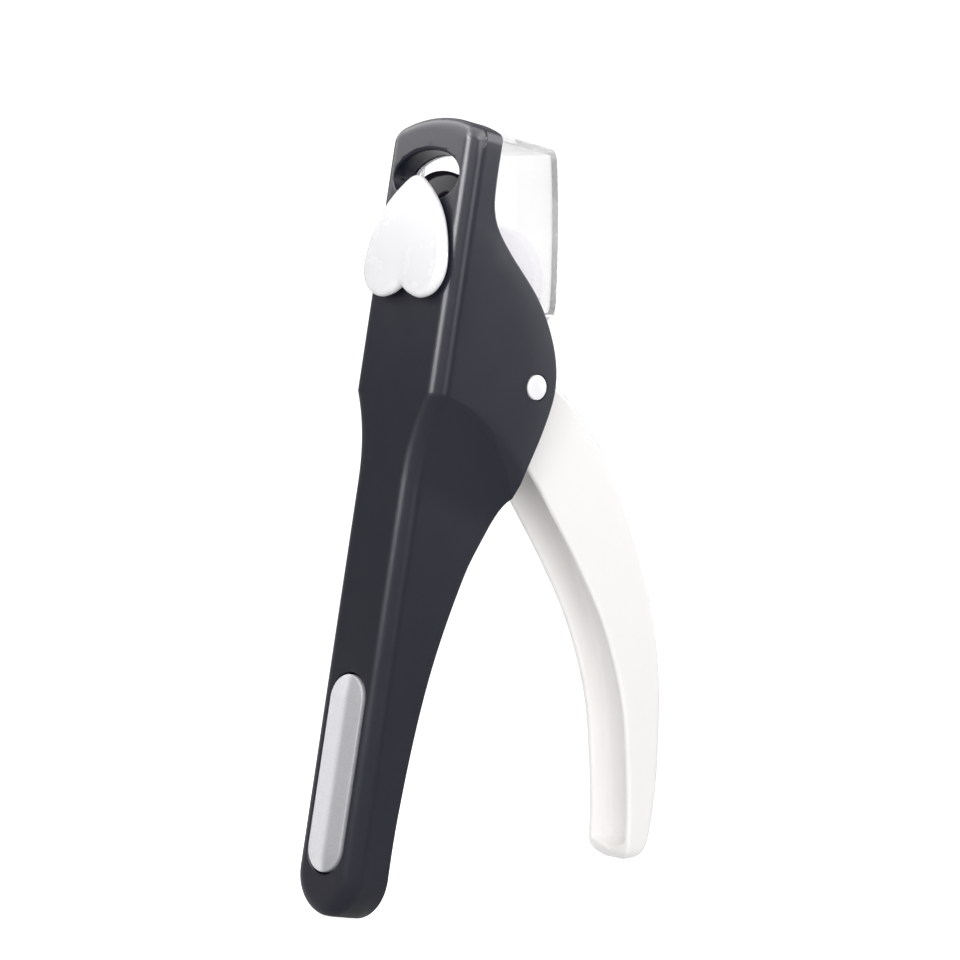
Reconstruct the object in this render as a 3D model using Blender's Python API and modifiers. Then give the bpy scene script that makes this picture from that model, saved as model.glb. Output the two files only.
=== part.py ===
"""Guillotine trimmer for pets' nails, modelled as its separate pieces.

The trimmer stands upright: +Z runs from the end of the handle to the head, the front face looks
along -Y, and the squeeze lever hangs behind the handle at +Y. It is symmetric about X = 0.
Sizes are millimetres from the front face (y), the middle plane (x) and the handle's end (z).
The assembly empty then moves everything so that the origin is under the middle of the object.
"""
import math

import bmesh
import bpy
from mathutils import Matrix, Vector

MM = 0.001
GAP = 0.3

# Body, from the front: a wide head over a narrow handle
LENGTH = 150.0
HEAD_HALF = 12.37
HANDLE_HALF = 8.33
EDGE_ROUND = 2.5
END_RADIUS = 8.33
END_FLAT = 0.12
ARCH_RADIUS = 24.5
ARCH_FLAT = 0.06
SHOULDER_ROUND = 2.2
FRONT_WALL = 1.9
SIDE_WALL = 1.9

# Neck, where the cheeks step in to the handle along a curved crease
CREASE_BASE = 81.4
CREASE_RISE = 16.1
CREASE_REACH = 23.5
NECK_FOOT = 78.0
NECK_FOOT_RISE = 1.5
NECK_POWER = 1.8

# Depth of the body (height, distance of the rear edge from the front face)
REAR_EDGE = [(0, 9.2), (20, 9.3), (45, 11.7), (66, 16.8), (77, 21.6), (82, 23.0), (95, 27.6),
             (103.5, 29.0), (111, 26.8), (119, 21.6), (127, 12.3), (131, 8.6), (135.5, 7.1),
             (150, 7.0)]

# Nail hole and cutting stack, from front to back
HOLE_Z = 138.8
HOLE_HALF = (9.8, 5.2)
HOLE_ROUND = 1.4
PLATE_Y = (5.05, 5.85)
PLATE_HOLE_HALF = (9.5, 5.0)
PLATE_HALF = 10.95
PLATE_BOTTOM = 113.6
BLADE_Y = (6.1, 6.8)
BLADE_HALF = 10.4
BLADE_TOP = 133.6
BLADE_SHOULDER = 123.3
TANG_HALF = 3.1
TANG_BOTTOM = 100.0
CAVITY_TOP = 131.5

# Squeeze mechanism
PIVOT = (24.4, 102.9)
PIN_RADIUS = 1.6
BORE_RADIUS = 1.75
SQUEEZE_DEG = 36.0
STROKE = 10.7
DRIVE_Y = 7.9
DRIVE_Z = PIVOT[1] - STROKE / 2
DRIVE_RADIUS = 1.2
LEVER_HALF = 5.0
LEVER_INNER = 3.4
GRIP_HALF = 5.9
GRIP_INNER = 4.5
HUB_FOOT_Z = 84.0
HUB_REAR_Y = 29.0
GROOVE_ROOT = (40.0, 70.0)
GROOVE_MOUTH = [(76.2, 20.6), (73.0, 19.0), (60.0, 22.0), GROOVE_ROOT]
HUB_RADIUS = 6.0
ARM_HALF = 3.2
WEB = 1.8
LEVER_BACK = [(24.4, 108.9), (36.5, 105.0), (45.5, 98.8), (54.5, 90.6), (66.6, 73.5),
              (74.3, 55.2), (77.9, 36.3), (78.6, 25.5)]
LEVER_FRONT = [(71.9, 23.5), (69.6, 34.0), (65.8, 47.2), (58.7, 60.8), (50.1, 71.8),
               (38.6, 83.2), (31.5, 89.3), (26.5, 94.6), (22.6, 97.2)]
LEVER_TIP = [(78.2, 20.5), (76.8, 17.0), (74.8, 15.8), (73.1, 17.4)]

# Hole-size slider
HEART_WIDTH = 24.0
HEART_TIP = 138.2
HEART_NOTCH = 117.4
HEART_LOBE = 115.2
HEART_FRONT = -3.3
TONGUE_Y = (2.2, 4.75)
TONGUE_HALF = 9.3
TONGUE_TOP = 140.2
TONGUE_ARC = 13.5
STEM_Z = (124.0, 129.0)
SLIDE_DOWN = 4.5
SLIDE_UP = 1.5
CLICK = 1.5

# Clear cover and the frame under it
COVER_HALF = 10.2
COVER_WALL = 1.15
COVER_TOP = 147.9
COVER_BACK = [(22.6, 147.0), (24.3, 139.0), (26.4, 128.5), (27.8, 119.7), (27.6, 117.4)]
COVER_FRONT_Y = 7.3
COVER_HINGE = (22.8, 115.4)
BARREL_RADIUS = 1.4
HINGE_PIN_RADIUS = 0.75
FRAME_HALF = 8.6
LOBE_CENTRE = (15.0, 121.0)
LOBE_RADIUS = 10.4
FRAME_FRONT_Y = 7.3
FRAME_BOTTOM = 113.0

# Cover over the handle's rear, set in from the side walls' edges
HANDLE_BACK_RECESS = 0.6
HANDLE_BACK_THICK = 1.6
HANDLE_BACK_TOP = 79.0
SCREW_SINK = 0.9

# Nail file in the handle's front
FILE_Z = 26.3
FILE_HALF = 4.65
FILE_STRAIGHT = 13.72
FILE_RIM_Y = -0.15
FILE_SHOULDER_Y = -0.4
FILE_RIDGE_Y = -0.85
FILE_POCKET_Y = 1.2

# Fasteners
FRAME_SCREW = (5.2, 116.0)
PLATE_SCREW = (7.9, 143.9)
HANDLE_SCREWS = {"handle_screw_upper": 62.0, "handle_screw_lower": 16.0}

MIDDLE_Y = (HEART_FRONT + LEVER_BACK[-1][0]) / 2


# ---------------------------------------------------------------- small geometry helpers

def clamp(value, low=0.0, high=1.0):
    return max(low, min(high, value))


def along(points, value):
    """Smooth curve through (key, result) points, read at a key."""
    last = len(points) - 2
    index = 0
    while index < last and value > points[index + 1][0]:
        index += 1

    def slope(k):
        before = points[max(k - 1, 0)]
        after = points[min(k + 1, len(points) - 1)]
        return (after[1] - before[1]) / (after[0] - before[0])

    (x0, y0), (x1, y1) = points[index], points[index + 1]
    step = x1 - x0
    t = clamp((value - x0) / step)
    return ((2 * t**3 - 3 * t**2 + 1) * y0 + (t**3 - 2 * t**2 + t) * step * slope(index)
            + (3 * t**2 - 2 * t**3) * y1 + (t**3 - t**2) * step * slope(index + 1))


def smooth_path(points, steps):
    """Points of a smooth curve that passes through every control point."""
    path = []
    for k in range(len(points) - 1):
        p0 = Vector(points[max(k - 1, 0)])
        p1 = Vector(points[k])
        p2 = Vector(points[k + 1])
        p3 = Vector(points[min(k + 2, len(points) - 1)])
        for step in range(steps):
            t = step / steps
            point = 0.5 * (2 * p1 + (p2 - p0) * t + (2 * p0 - 5 * p1 + 4 * p2 - p3) * t * t
                           + (3 * p1 - p0 - 3 * p2 + p3) * t**3)
            path.append(tuple(point))
    path.append(tuple(points[-1]))
    return path


def arc(centre, radius, start, end, steps):
    """Points on an arc, with its angles in degrees."""
    angles = [math.radians(start + (end - start) * k / steps) for k in range(steps + 1)]
    return [(centre[0] + radius * math.cos(a), centre[1] + radius * math.sin(a)) for a in angles]


def ellipse(centre, half, steps):
    angles = [2 * math.pi * k / steps for k in range(steps)]
    return [(centre[0] + half[0] * math.cos(a), centre[1] + half[1] * math.sin(a))
            for a in angles]


def offset_path(path, distance):
    """An open path moved sideways, to the right of its direction."""
    moved = []
    for k, point in enumerate(path):
        before = path[max(k - 1, 0)]
        after = path[min(k + 1, len(path) - 1)]
        run = Vector((after[0] - before[0], after[1] - before[1])).normalized()
        moved.append((point[0] + run.y * distance, point[1] - run.x * distance))
    return moved


# ---------------------------------------------------------------- object helpers

def start_scene():
    for old in list(bpy.data.objects):
        bpy.data.objects.remove(old, do_unlink=True)
    groups = {}
    for name in ("pet_nail_trimmer", "construction"):
        group = bpy.data.collections.new(name)
        bpy.context.scene.collection.children.link(group)
        groups[name] = group
    assembly = bpy.data.objects.new("assembly", None)
    assembly.location = (0, -MIDDLE_Y * MM, 0)
    groups["pet_nail_trimmer"].objects.link(assembly)
    return groups["pet_nail_trimmer"], groups["construction"], assembly


PARTS, CONSTRUCTION, ASSEMBLY = start_scene()


def material(name, colour, roughness, metallic=0.0, alpha=1.0):
    made = bpy.data.materials.new(name)
    made.use_nodes = True
    shader = made.node_tree.nodes["Principled BSDF"]
    shader.inputs["Base Color"].default_value = (*colour, 1.0)
    shader.inputs["Roughness"].default_value = roughness
    shader.inputs["Metallic"].default_value = metallic
    shader.inputs["Alpha"].default_value = alpha
    made.diffuse_color = (*colour, alpha)
    return made


CHARCOAL = material("charcoal_abs", (0.035, 0.040, 0.048), 0.45)
WHITE = material("white_abs", (0.85, 0.85, 0.84), 0.30)
BLACK_GLOSS = material("black_gloss", (0.015, 0.014, 0.018), 0.12)
CLEAR = material("clear_plastic", (0.95, 0.96, 0.97), 0.05, alpha=0.3)
STEEL = material("stainless_steel", (0.62, 0.62, 0.63), 0.25, metallic=1.0)
SPRING_STEEL = material("spring_steel", (0.42, 0.42, 0.44), 0.35, metallic=1.0)
FILE_GREY = material("file_grit", (0.62, 0.62, 0.63), 0.75)
ACETAL = material("grey_acetal", (0.55, 0.55, 0.56), 0.40)


def add(name, mesh, finish=None, origin=(0, 0, 0)):
    """Links a mesh made in millimetres as a part, or as a hidden construction shape."""
    mesh.transform(Matrix.Diagonal((MM, MM, MM, 1)) @ Matrix.Translation([-v for v in origin]))
    made = bpy.data.objects.new(name, mesh)
    made.location = [v * MM for v in origin]
    made.parent = ASSEMBLY
    if finish is None:
        CONSTRUCTION.objects.link(made)
        made.hide_render = True
        made.display_type = "WIRE"
    else:
        PARTS.objects.link(made)
        mesh.materials.append(finish)
        mesh.shade_smooth()
        mesh.set_sharp_from_angle(angle=math.radians(35))
    return made


def mesh_from(name, build):
    """A mesh from a function that fills a bmesh."""
    work = bmesh.new()
    build(work)
    bmesh.ops.recalc_face_normals(work, faces=work.faces)
    mesh = bpy.data.meshes.new(name)
    work.to_mesh(mesh)
    work.free()
    return mesh


def box_mesh(name, low, high):
    def build(work):
        bmesh.ops.create_cube(work, size=1)
        size = [b - a for a, b in zip(low, high)]
        middle = [(a + b) / 2 for a, b in zip(low, high)]
        bmesh.ops.scale(work, vec=size, verts=work.verts)
        bmesh.ops.translate(work, vec=middle, verts=work.verts)
    return mesh_from(name, build)


def rod_mesh(name, direction, start, end, across, radius, radius_end=None, sides=24):
    """A rod or cone along X or Y, from start to end, centred on its other two coordinates."""
    def build(work):
        last = radius if radius_end is None else radius_end
        bmesh.ops.create_cone(work, cap_ends=True, segments=sides, radius1=radius,
                              radius2=last, depth=end - start)
        bmesh.ops.translate(work, vec=(0, 0, (start + end) / 2), verts=work.verts)
        if direction == "X":
            turn = Matrix.Rotation(math.radians(90), 4, "Y")
            place = Matrix.Translation((0, across[0], across[1]))
        else:
            turn = Matrix.Rotation(math.radians(-90), 4, "X")
            place = Matrix.Translation((across[0], 0, across[1]))
        bmesh.ops.transform(work, matrix=place @ turn, verts=work.verts)
    return mesh_from(name, build)


def slab_mesh(name, outline, direction, start, end):
    """A flat outline extruded along X (outline in y, z) or along Y (outline in x, z)."""
    curve = bpy.data.curves.new(name, "CURVE")
    curve.dimensions = "2D"
    curve.fill_mode = "BOTH"
    curve.extrude = (end - start) / 2
    spline = curve.splines.new("POLY")
    spline.points.add(len(outline) - 1)
    for point, (u, v) in zip(spline.points, outline):
        point.co = (u, v, 0, 1)
    spline.use_cyclic_u = True
    holder = bpy.data.objects.new(name, curve)
    bpy.context.scene.collection.objects.link(holder)
    bpy.context.view_layer.update()
    evaluated = holder.evaluated_get(bpy.context.evaluated_depsgraph_get())
    mesh = bpy.data.meshes.new_from_object(evaluated)
    bpy.data.objects.remove(holder)
    bpy.data.curves.remove(curve)
    middle = (start + end) / 2
    if direction == "X":
        place = Matrix(((0, 0, 1, middle), (1, 0, 0, 0), (0, 1, 0, 0), (0, 0, 0, 1)))
    else:
        place = Matrix(((1, 0, 0, 0), (0, 0, -1, middle), (0, 1, 0, 0), (0, 0, 0, 1)))

    def build(work):
        work.from_mesh(mesh)
        bmesh.ops.remove_doubles(work, verts=work.verts, dist=1e-4)
        bmesh.ops.dissolve_limit(work, angle_limit=math.radians(0.1), verts=work.verts,
                                 edges=work.edges)
        bmesh.ops.dissolve_degenerate(work, dist=1e-4, edges=work.edges)
        bmesh.ops.transform(work, matrix=place, verts=work.verts)
    return mesh_from(name, build)


def loft_mesh(name, rings, closed=True, caps=True):
    """Skins rings of points, all with the same number of points."""
    def build(work):
        rows = [[work.verts.new(point) for point in ring] for ring in rings]
        count = len(rows[0])
        last = count if closed else count - 1
        for low, high in zip(rows, rows[1:]):
            for k in range(last):
                after = (k + 1) % count
                work.faces.new((low[k], low[after], high[after], high[k]))
        if caps:
            work.faces.new(rows[0])
            work.faces.new(rows[-1])
    return mesh_from(name, build)


def combine(target, shape, operation):
    step = target.modifiers.new(shape.name, "BOOLEAN")
    step.operation = operation
    step.object = shape


def cut(target, name, mesh):
    combine(target, add(f"{target.name}_{name}_cutter", mesh), "DIFFERENCE")


def join(target, name, mesh):
    combine(target, add(f"{target.name}_{name}_stock", mesh), "UNION")


def soften(target, width, angle=40):
    step = target.modifiers.new("edges", "BEVEL")
    step.width = width * MM
    step.segments = 1
    step.limit_method = "ANGLE"
    step.angle_limit = math.radians(angle)


def mirror(target):
    step = target.modifiers.new("mirror", "MIRROR")
    step.merge_threshold = 0.00001


# ---------------------------------------------------------------- body form

def depth(z):
    return along(REAR_EDGE, z)


def half_width(y, z):
    """Half the body's width at a depth and height: cheeks above the crease, handle below."""
    span = clamp(y / CREASE_REACH)
    crease = CREASE_BASE + CREASE_RISE * math.sqrt(1 - span * span)
    foot = NECK_FOOT + NECK_FOOT_RISE * span
    rise = clamp((z - foot) / (crease - foot))
    return HANDLE_HALF + (HEAD_HALF - HANDLE_HALF) * rise**NECK_POWER


END_CENTRE = END_RADIUS - END_FLAT
ARCH_CENTRE = LENGTH + ARCH_FLAT - ARCH_RADIUS
SHOULDER_X = HEAD_HALF - SHOULDER_ROUND
SHOULDER_Z = ARCH_CENTRE + math.sqrt((ARCH_RADIUS - SHOULDER_ROUND) ** 2 - SHOULDER_X**2)
SHOULDER_END = ARCH_CENTRE + (SHOULDER_Z - ARCH_CENTRE) * ARCH_RADIUS / (ARCH_RADIUS
                                                                         - SHOULDER_ROUND)


def edge_distance(x, z):
    """Distance of a front-view point from the body's outline."""
    if z < END_CENTRE:
        return END_RADIUS - math.hypot(x, END_CENTRE - z)
    if z > SHOULDER_Z:
        if x > SHOULDER_X * (z - ARCH_CENTRE) / (SHOULDER_Z - ARCH_CENTRE):
            return SHOULDER_ROUND - math.hypot(x - SHOULDER_X, z - SHOULDER_Z)
        return min(HEAD_HALF - x, ARCH_RADIUS - math.hypot(x, z - ARCH_CENTRE))
    return min(half_width(0, z) - x, ARCH_RADIUS - math.hypot(x, max(z - ARCH_CENTRE, 0)))


def outline_half(z):
    """Half the width of the front outline's round ends."""
    if z < END_CENTRE:
        return math.sqrt(END_RADIUS**2 - (END_CENTRE - z) ** 2)
    if z > SHOULDER_END:
        return math.sqrt(ARCH_RADIUS**2 - (z - ARCH_CENTRE) ** 2)
    if z > SHOULDER_Z:
        return SHOULDER_X + math.sqrt(SHOULDER_ROUND**2 - (z - SHOULDER_Z) ** 2)
    return HEAD_HALF


def front_y(x, z):
    """The front face, rolled back along its edge."""
    inside = EDGE_ROUND - clamp(edge_distance(x, z), 0, EDGE_ROUND)
    return EDGE_ROUND - math.sqrt(EDGE_ROUND**2 - inside**2)


def body_half_ring(z):
    """Half a section of the body, from the middle of the front to the middle of the rear."""
    limit = outline_half(z)
    edge = min(half_width(0, z), limit)
    corner = min(EDGE_ROUND, 0.7 * edge)
    across = [0.0, 0.5 * (edge - corner)]
    across += [edge - corner * (1 - math.sin(math.radians(a))) for a in (0, 22.5, 45, 67.5, 90)]
    ring = [(x, front_y(x, z), z) for x in across]
    rear = depth(z)
    for k in range(1, 6):
        y = EDGE_ROUND + (rear - EDGE_ROUND) * k / 5
        ring.append((min(half_width(y, z), limit), y, z))
    ring.append((0.0, rear, z))
    return ring


def spread(low, high, step):
    count = max(1, round((high - low) / step))
    return [low + (high - low) * k / count for k in range(count)]


def body_levels():
    first = math.degrees(math.acos(END_CENTRE / END_RADIUS))
    turns = [first + (90 - first) * k / 6 for k in range(6)]
    levels = [END_CENTRE - END_RADIUS * math.cos(math.radians(a)) for a in turns]
    levels[0] = 0.0
    levels += spread(END_CENTRE, NECK_FOOT, 8.5)
    levels += spread(NECK_FOOT, 98.0, 2.2)
    levels += spread(98.0, SHOULDER_Z, 3.2)
    levels += spread(SHOULDER_Z, SHOULDER_END, 0.7)
    levels += spread(SHOULDER_END, LENGTH, 0.7)
    return levels + [LENGTH]


def cavity_half_ring(z):
    """Half a section of the hollow, which runs out through the open rear."""
    limit = HANDLE_HALF - SIDE_WALL
    low = END_CENTRE - z
    if low > 0:
        limit = math.sqrt(limit**2 - low**2)
    else:
        limit = HEAD_HALF
    rear = depth(z) + 1.5
    ring = [(0.0, FRONT_WALL, z)]
    for k in range(5):
        y = FRONT_WALL + (rear - FRONT_WALL) * k / 4
        ring.append((min(half_width(y, z) - SIDE_WALL, limit), y, z))
    ring.append((0.0, rear, z))
    return ring


def round_end_levels(radius):
    """Heights that follow the inner side of the handle's round end."""
    return [END_CENTRE - radius * math.cos(math.radians(a)) for a in (8, 22, 36, 50, 64, 77)]


def cavity_levels():
    levels = round_end_levels(HANDLE_HALF - SIDE_WALL)
    levels += spread(END_CENTRE, NECK_FOOT, 14)
    levels += spread(NECK_FOOT, 98.0, 2.9)
    levels += spread(98.0, CAVITY_TOP, 4.8)
    return levels + [CAVITY_TOP]


def stadium(half, straight, centre_z, steps=10):
    """An upright slot outline in x and z."""
    top = arc((0, centre_z + straight), half, 0, 180, steps)
    bottom = arc((0, centre_z - straight), half, 180, 360, steps)
    return top + bottom


def arched(half, radius, bottom, steps=12):
    """An outline with straight sides and a top concentric with the head's arch."""
    top = [half - 2 * half * k / steps for k in range(steps + 1)]
    arch = [(x, ARCH_CENTRE + math.sqrt(radius**2 - x * x)) for x in top]
    return [(-half, bottom), (half, bottom)] + arch


# ---------------------------------------------------------------- casing

def make_front_shell():
    shell = add("front_shell", loft_mesh("front_shell", [body_half_ring(z) for z in body_levels()],
                                         closed=False, caps=False), CHARCOAL)
    cap_ends(shell)
    mirror(shell)
    hollow = add("front_shell_hollow_cutter",
                 loft_mesh("hollow", [cavity_half_ring(z) for z in cavity_levels()],
                           closed=False, caps=False))
    cap_ends(hollow)
    mirror(hollow)
    combine(shell, hollow, "DIFFERENCE")
    pocket = arched(11.2, ARCH_RADIUS - 3.0, 111.0)
    cut(shell, "plate_pocket", slab_mesh("pocket", pocket, "Y", PLATE_Y[0] - GAP, 7.6))
    relief = HEAD_HALF - SIDE_WALL - 0.02
    cut(shell, "cover_relief", box_mesh("relief", (-relief, 7.1, CAVITY_TOP - 1),
                                        (relief, 12.0, CAVITY_TOP + 6)))
    cut(shell, "tongue_pocket", box_mesh("pocket", (-9.75, FRONT_WALL, 130.6),
                                         (9.75, 5.4, HOLE_Z)))
    rings = []
    for y in (-0.6, 0.0, 0.25, 0.65, HOLE_ROUND, 6.2):
        lift = HOLE_ROUND - clamp(y, 0, HOLE_ROUND)
        flare = HOLE_ROUND - math.sqrt(HOLE_ROUND**2 - lift**2)
        half = [h + flare for h in HOLE_HALF]
        rings.append([(x, y, z) for x, z in ellipse((0, HOLE_Z), half, 40)])
    cut(shell, "nail_hole", loft_mesh("nail_hole", rings))
    slot_low = STEM_Z[0] - SLIDE_DOWN - GAP
    slot_high = STEM_Z[1] + SLIDE_UP + GAP
    cut(shell, "stem_slot", box_mesh("stem_slot", (-2.0, -0.5, slot_low), (2.0, 2.6, slot_high)))
    file_pocket = stadium(FILE_HALF + 0.25, FILE_STRAIGHT, FILE_Z)
    cut(shell, "file_pocket", slab_mesh("file_pocket", file_pocket, "Y", -0.5,
                                        FILE_POCKET_Y))
    for side, x in (("left", -1), ("right", 1)):
        boss = rod_mesh("boss", "Y", 1.5, PLATE_Y[0] - GAP, (x * FRAME_SCREW[0], FRAME_SCREW[1]),
                        1.8)
        join(shell, f"frame_boss_{side}", boss)
        pilot = rod_mesh("pilot", "Y", 2.4, 6.0, (x * FRAME_SCREW[0], FRAME_SCREW[1]), 1.0,
                         sides=12)
        cut(shell, f"frame_pilot_{side}", pilot)
        pilot = rod_mesh("pilot", "Y", 2.4, 6.0, (x * PLATE_SCREW[0], PLATE_SCREW[1]), 0.9,
                         sides=12)
        cut(shell, f"plate_pilot_{side}", pilot)
        outer = 13.0 * x
        for kind, start, radius, sides in (("pivot_bore", 9.0, BORE_RADIUS, 32),
                                           ("cap_seat", 11.4, 2.6, 32),
                                           ("hinge_socket", 9.0, 0.9, 16)):
            where = COVER_HINGE if kind == "hinge_socket" else PIVOT
            end = 11.45 * x if kind == "hinge_socket" else outer
            low, high = sorted((start * x, end))
            cut(shell, f"{kind}_{side}", rod_mesh(kind, "X", low, high, where, radius,
                                                  sides=sides))
    for z in HANDLE_SCREWS.values():
        top = depth(z - 2.6) - HANDLE_BACK_RECESS - HANDLE_BACK_THICK - 0.35
        join(shell, f"handle_boss_{z:.0f}", rod_mesh("boss", "Y", 1.5, top, (0, z), 2.6))
        cut(shell, f"handle_pilot_{z:.0f}", rod_mesh("pilot", "Y", 2.6, top + 1, (0, z), 1.0,
                                                     sides=12))
    for k, z in enumerate((119.0, 122.6)):
        join(shell, f"spring_peg_{k}", rod_mesh("peg", "Y", 1.6, 4.4, (5.3, z), 0.6, sides=12))


def cap_ends(target):
    """Closes the open rings of a half loft, leaving the middle plane open."""
    work = bmesh.new()
    work.from_mesh(target.data)
    heights = sorted({round(v.co.z, 7) for v in work.verts})
    for z in (heights[0], heights[-1]):
        rim = [e for e in work.edges if e.is_boundary
               and all(abs(v.co.z - z) < 1e-6 for v in e.verts)]
        bmesh.ops.contextual_create(work, geom=rim)
    bmesh.ops.recalc_face_normals(work, faces=work.faces)
    work.to_mesh(target.data)
    work.free()


def make_handle_back():
    """The cover that closes the handle's open rear, set between its side walls."""
    rings = []
    half = HANDLE_HALF - SIDE_WALL - GAP
    levels = round_end_levels(half) + spread(END_CENTRE, HANDLE_BACK_TOP, 7.9)
    for z in levels + [HANDLE_BACK_TOP]:
        low = max(END_CENTRE - z, 0)
        wide = math.sqrt(half**2 - low**2)
        rear = depth(z) - HANDLE_BACK_RECESS
        front = rear - HANDLE_BACK_THICK
        rings.append([(-wide, front, z), (wide, front, z), (wide, rear - 0.4, z),
                      (wide - 0.5, rear, z), (0.5 - wide, rear, z), (-wide, rear - 0.4, z)])
    back = add("handle_back", loft_mesh("handle_back", rings), CHARCOAL)
    for name, z in HANDLE_SCREWS.items():
        rear = depth(z) - HANDLE_BACK_RECESS
        face = rear - 0.05
        cut(back, f"{name}_hole", rod_mesh("hole", "Y", rear - 3, rear + 2, (0, z), 1.3))
        cut(back, f"{name}_sink", rod_mesh("sink", "Y", rear - SCREW_SINK, rear + 2, (0, z), 2.5))
        screw = add(name, rod_mesh(name, "Y", 4.5, rear - 0.5, (0, z), 0.85, sides=12), STEEL)
        join(screw, "head", rod_mesh("head", "Y", rear - 0.7, face, (0, z), 2.1, sides=20))
        cross_recess(screw, (0, face, z), 1)


def cross_recess(screw, face, outward):
    """The cross-shaped driver recess in a screw head that looks along Y."""
    x, y, z = face
    deep = y - 0.3 * outward
    proud = y + 0.5 * outward
    low, high = sorted((deep, proud))
    cut(screw, "recess_wide", box_mesh("recess", (x - 0.8, low, z - 0.2), (x + 0.8, high, z + 0.2)))
    cut(screw, "recess_tall", box_mesh("recess", (x - 0.2, low, z - 0.8), (x + 0.2, high, z + 0.8)))


def make_nail_file():
    """The stadium insert: a shallow two-sided ridge of grit on a backing."""
    rings = []
    back_y = FILE_POCKET_Y - GAP
    for inset, y in ((0.0, back_y), (0.0, FILE_RIM_Y), (0.35, FILE_SHOULDER_Y)):
        half = FILE_HALF - inset
        rings.append([(x, y, z) for x, z in stadium(half, FILE_STRAIGHT, FILE_Z)])
    low, high = FILE_Z - FILE_STRAIGHT, FILE_Z + FILE_STRAIGHT

    def build(work):
        rows = [[work.verts.new(point) for point in ring] for ring in rings]
        top = work.verts.new((0, FILE_RIDGE_Y, high))
        bottom = work.verts.new((0, FILE_RIDGE_Y, low))
        count = len(rows[0])
        for a, b in zip(rows, rows[1:]):
            for k in range(count):
                after = (k + 1) % count
                work.faces.new((a[k], a[after], b[after], b[k]))
        work.faces.new(rows[0])
        rim = rows[-1]
        half_count = count // 2
        for k in range(count):
            after = (k + 1) % count
            apex = top if k < half_count else bottom
            if k in (half_count - 1, count - 1):
                pair = (top, bottom) if k == half_count - 1 else (bottom, top)
                work.faces.new((rim[k], rim[after], pair[1], pair[0]))
            else:
                work.faces.new((rim[k], rim[after], apex))
    add("nail_file", mesh_from("nail_file", build), FILE_GREY)


# ---------------------------------------------------------------- cutting parts

def make_fixed_blade():
    plate = add("fixed_blade", slab_mesh("fixed_blade", arched(PLATE_HALF, ARCH_RADIUS - 3.25,
                                                               PLATE_BOTTOM), "Y", *PLATE_Y),
                STEEL)
    cut(plate, "nail_hole", slab_mesh("hole", ellipse((0, HOLE_Z), PLATE_HOLE_HALF, 40), "Y",
                                      4.0, 7.0))
    cut(plate, "screw_notch", box_mesh("notch", (-2.0, 4.0, 110.0), (2.0, 7.0, 120.2)))
    for side, x in (("left", -1), ("right", 1)):
        at = (x * FRAME_SCREW[0], FRAME_SCREW[1])
        cut(plate, f"frame_hole_{side}", rod_mesh("hole", "Y", 4, 7, at, 1.25, sides=16))
        at = (x * PLATE_SCREW[0], PLATE_SCREW[1])
        cut(plate, f"sink_{side}", rod_mesh("sink", "Y", PLATE_Y[0] - 0.5, PLATE_Y[1] + 0.5, at,
                                            0.75, 1.75, sides=16))
        name = f"plate_screw_{side}"
        screw = add(name, rod_mesh(name, "Y", 2.9, PLATE_Y[0] + 0.3, at, 0.6, sides=12), STEEL)
        join(screw, "head", rod_mesh("head", "Y", PLATE_Y[0] + 0.1, PLATE_Y[1] - 0.05, at, 0.65,
                                     1.15, sides=16))
        cut(screw, "slot", box_mesh("slot", (at[0] - 2, PLATE_Y[1] - 0.3, at[1] - 0.18),
                                    (at[0] + 2, PLATE_Y[1] + 0.5, at[1] + 0.18)))


def make_moving_blade():
    """The guillotine blade: a wide cutting end on a narrow tang, ground at its arched edge."""
    arch_radius = 22.0
    edge = []
    for k in range(17):
        x = BLADE_HALF - 2 * BLADE_HALF * k / 16
        edge.append((x, BLADE_TOP - arch_radius + math.sqrt(arch_radius**2 - x * x)))
    outline = [(-TANG_HALF, TANG_BOTTOM), (TANG_HALF, TANG_BOTTOM), (TANG_HALF, BLADE_SHOULDER),
               (BLADE_HALF, BLADE_SHOULDER + 0.8)]
    outline += edge
    outline += [(-BLADE_HALF, BLADE_SHOULDER + 0.8), (-TANG_HALF, BLADE_SHOULDER)]
    blade = add("moving_blade", slab_mesh("moving_blade", outline, "Y", *BLADE_Y), STEEL,
                origin=(0, BLADE_Y[0], DRIVE_Z))
    bevel = [(BLADE_Y[0] + 0.15, BLADE_TOP + 0.4), (BLADE_Y[1] + 0.6, BLADE_TOP + 0.4),
             (BLADE_Y[1] + 0.6, BLADE_TOP - 8.0)]
    cut(blade, "grind", slab_mesh("grind", bevel, "X", -12, 12))
    carriage = make_carriage()
    for name, z in (("blade_screw_lower", 102.6), ("blade_screw_upper", 107.4)):
        cut(blade, name, rod_mesh("hole", "Y", 5.5, 7.4, (0, z), 1.05, sides=16))
        cut(carriage, name, rod_mesh("hole", "Y", 6.5, 10.2, (0, z), 0.95, sides=16))
        screw = add(name, rod_mesh(name, "Y", BLADE_Y[0] - 0.3, 9.8, (0, z), 0.75, sides=12),
                    STEEL, origin=(0, BLADE_Y[0], DRIVE_Z))
        join(screw, "head", rod_mesh("head", "Y", 5.2, BLADE_Y[0] - 0.2, (0, z), 1.4, sides=16))
        cut(screw, "slot", box_mesh("slot", (-2, 5.0, z - 0.18), (2, 5.45, z + 0.18)))


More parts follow.
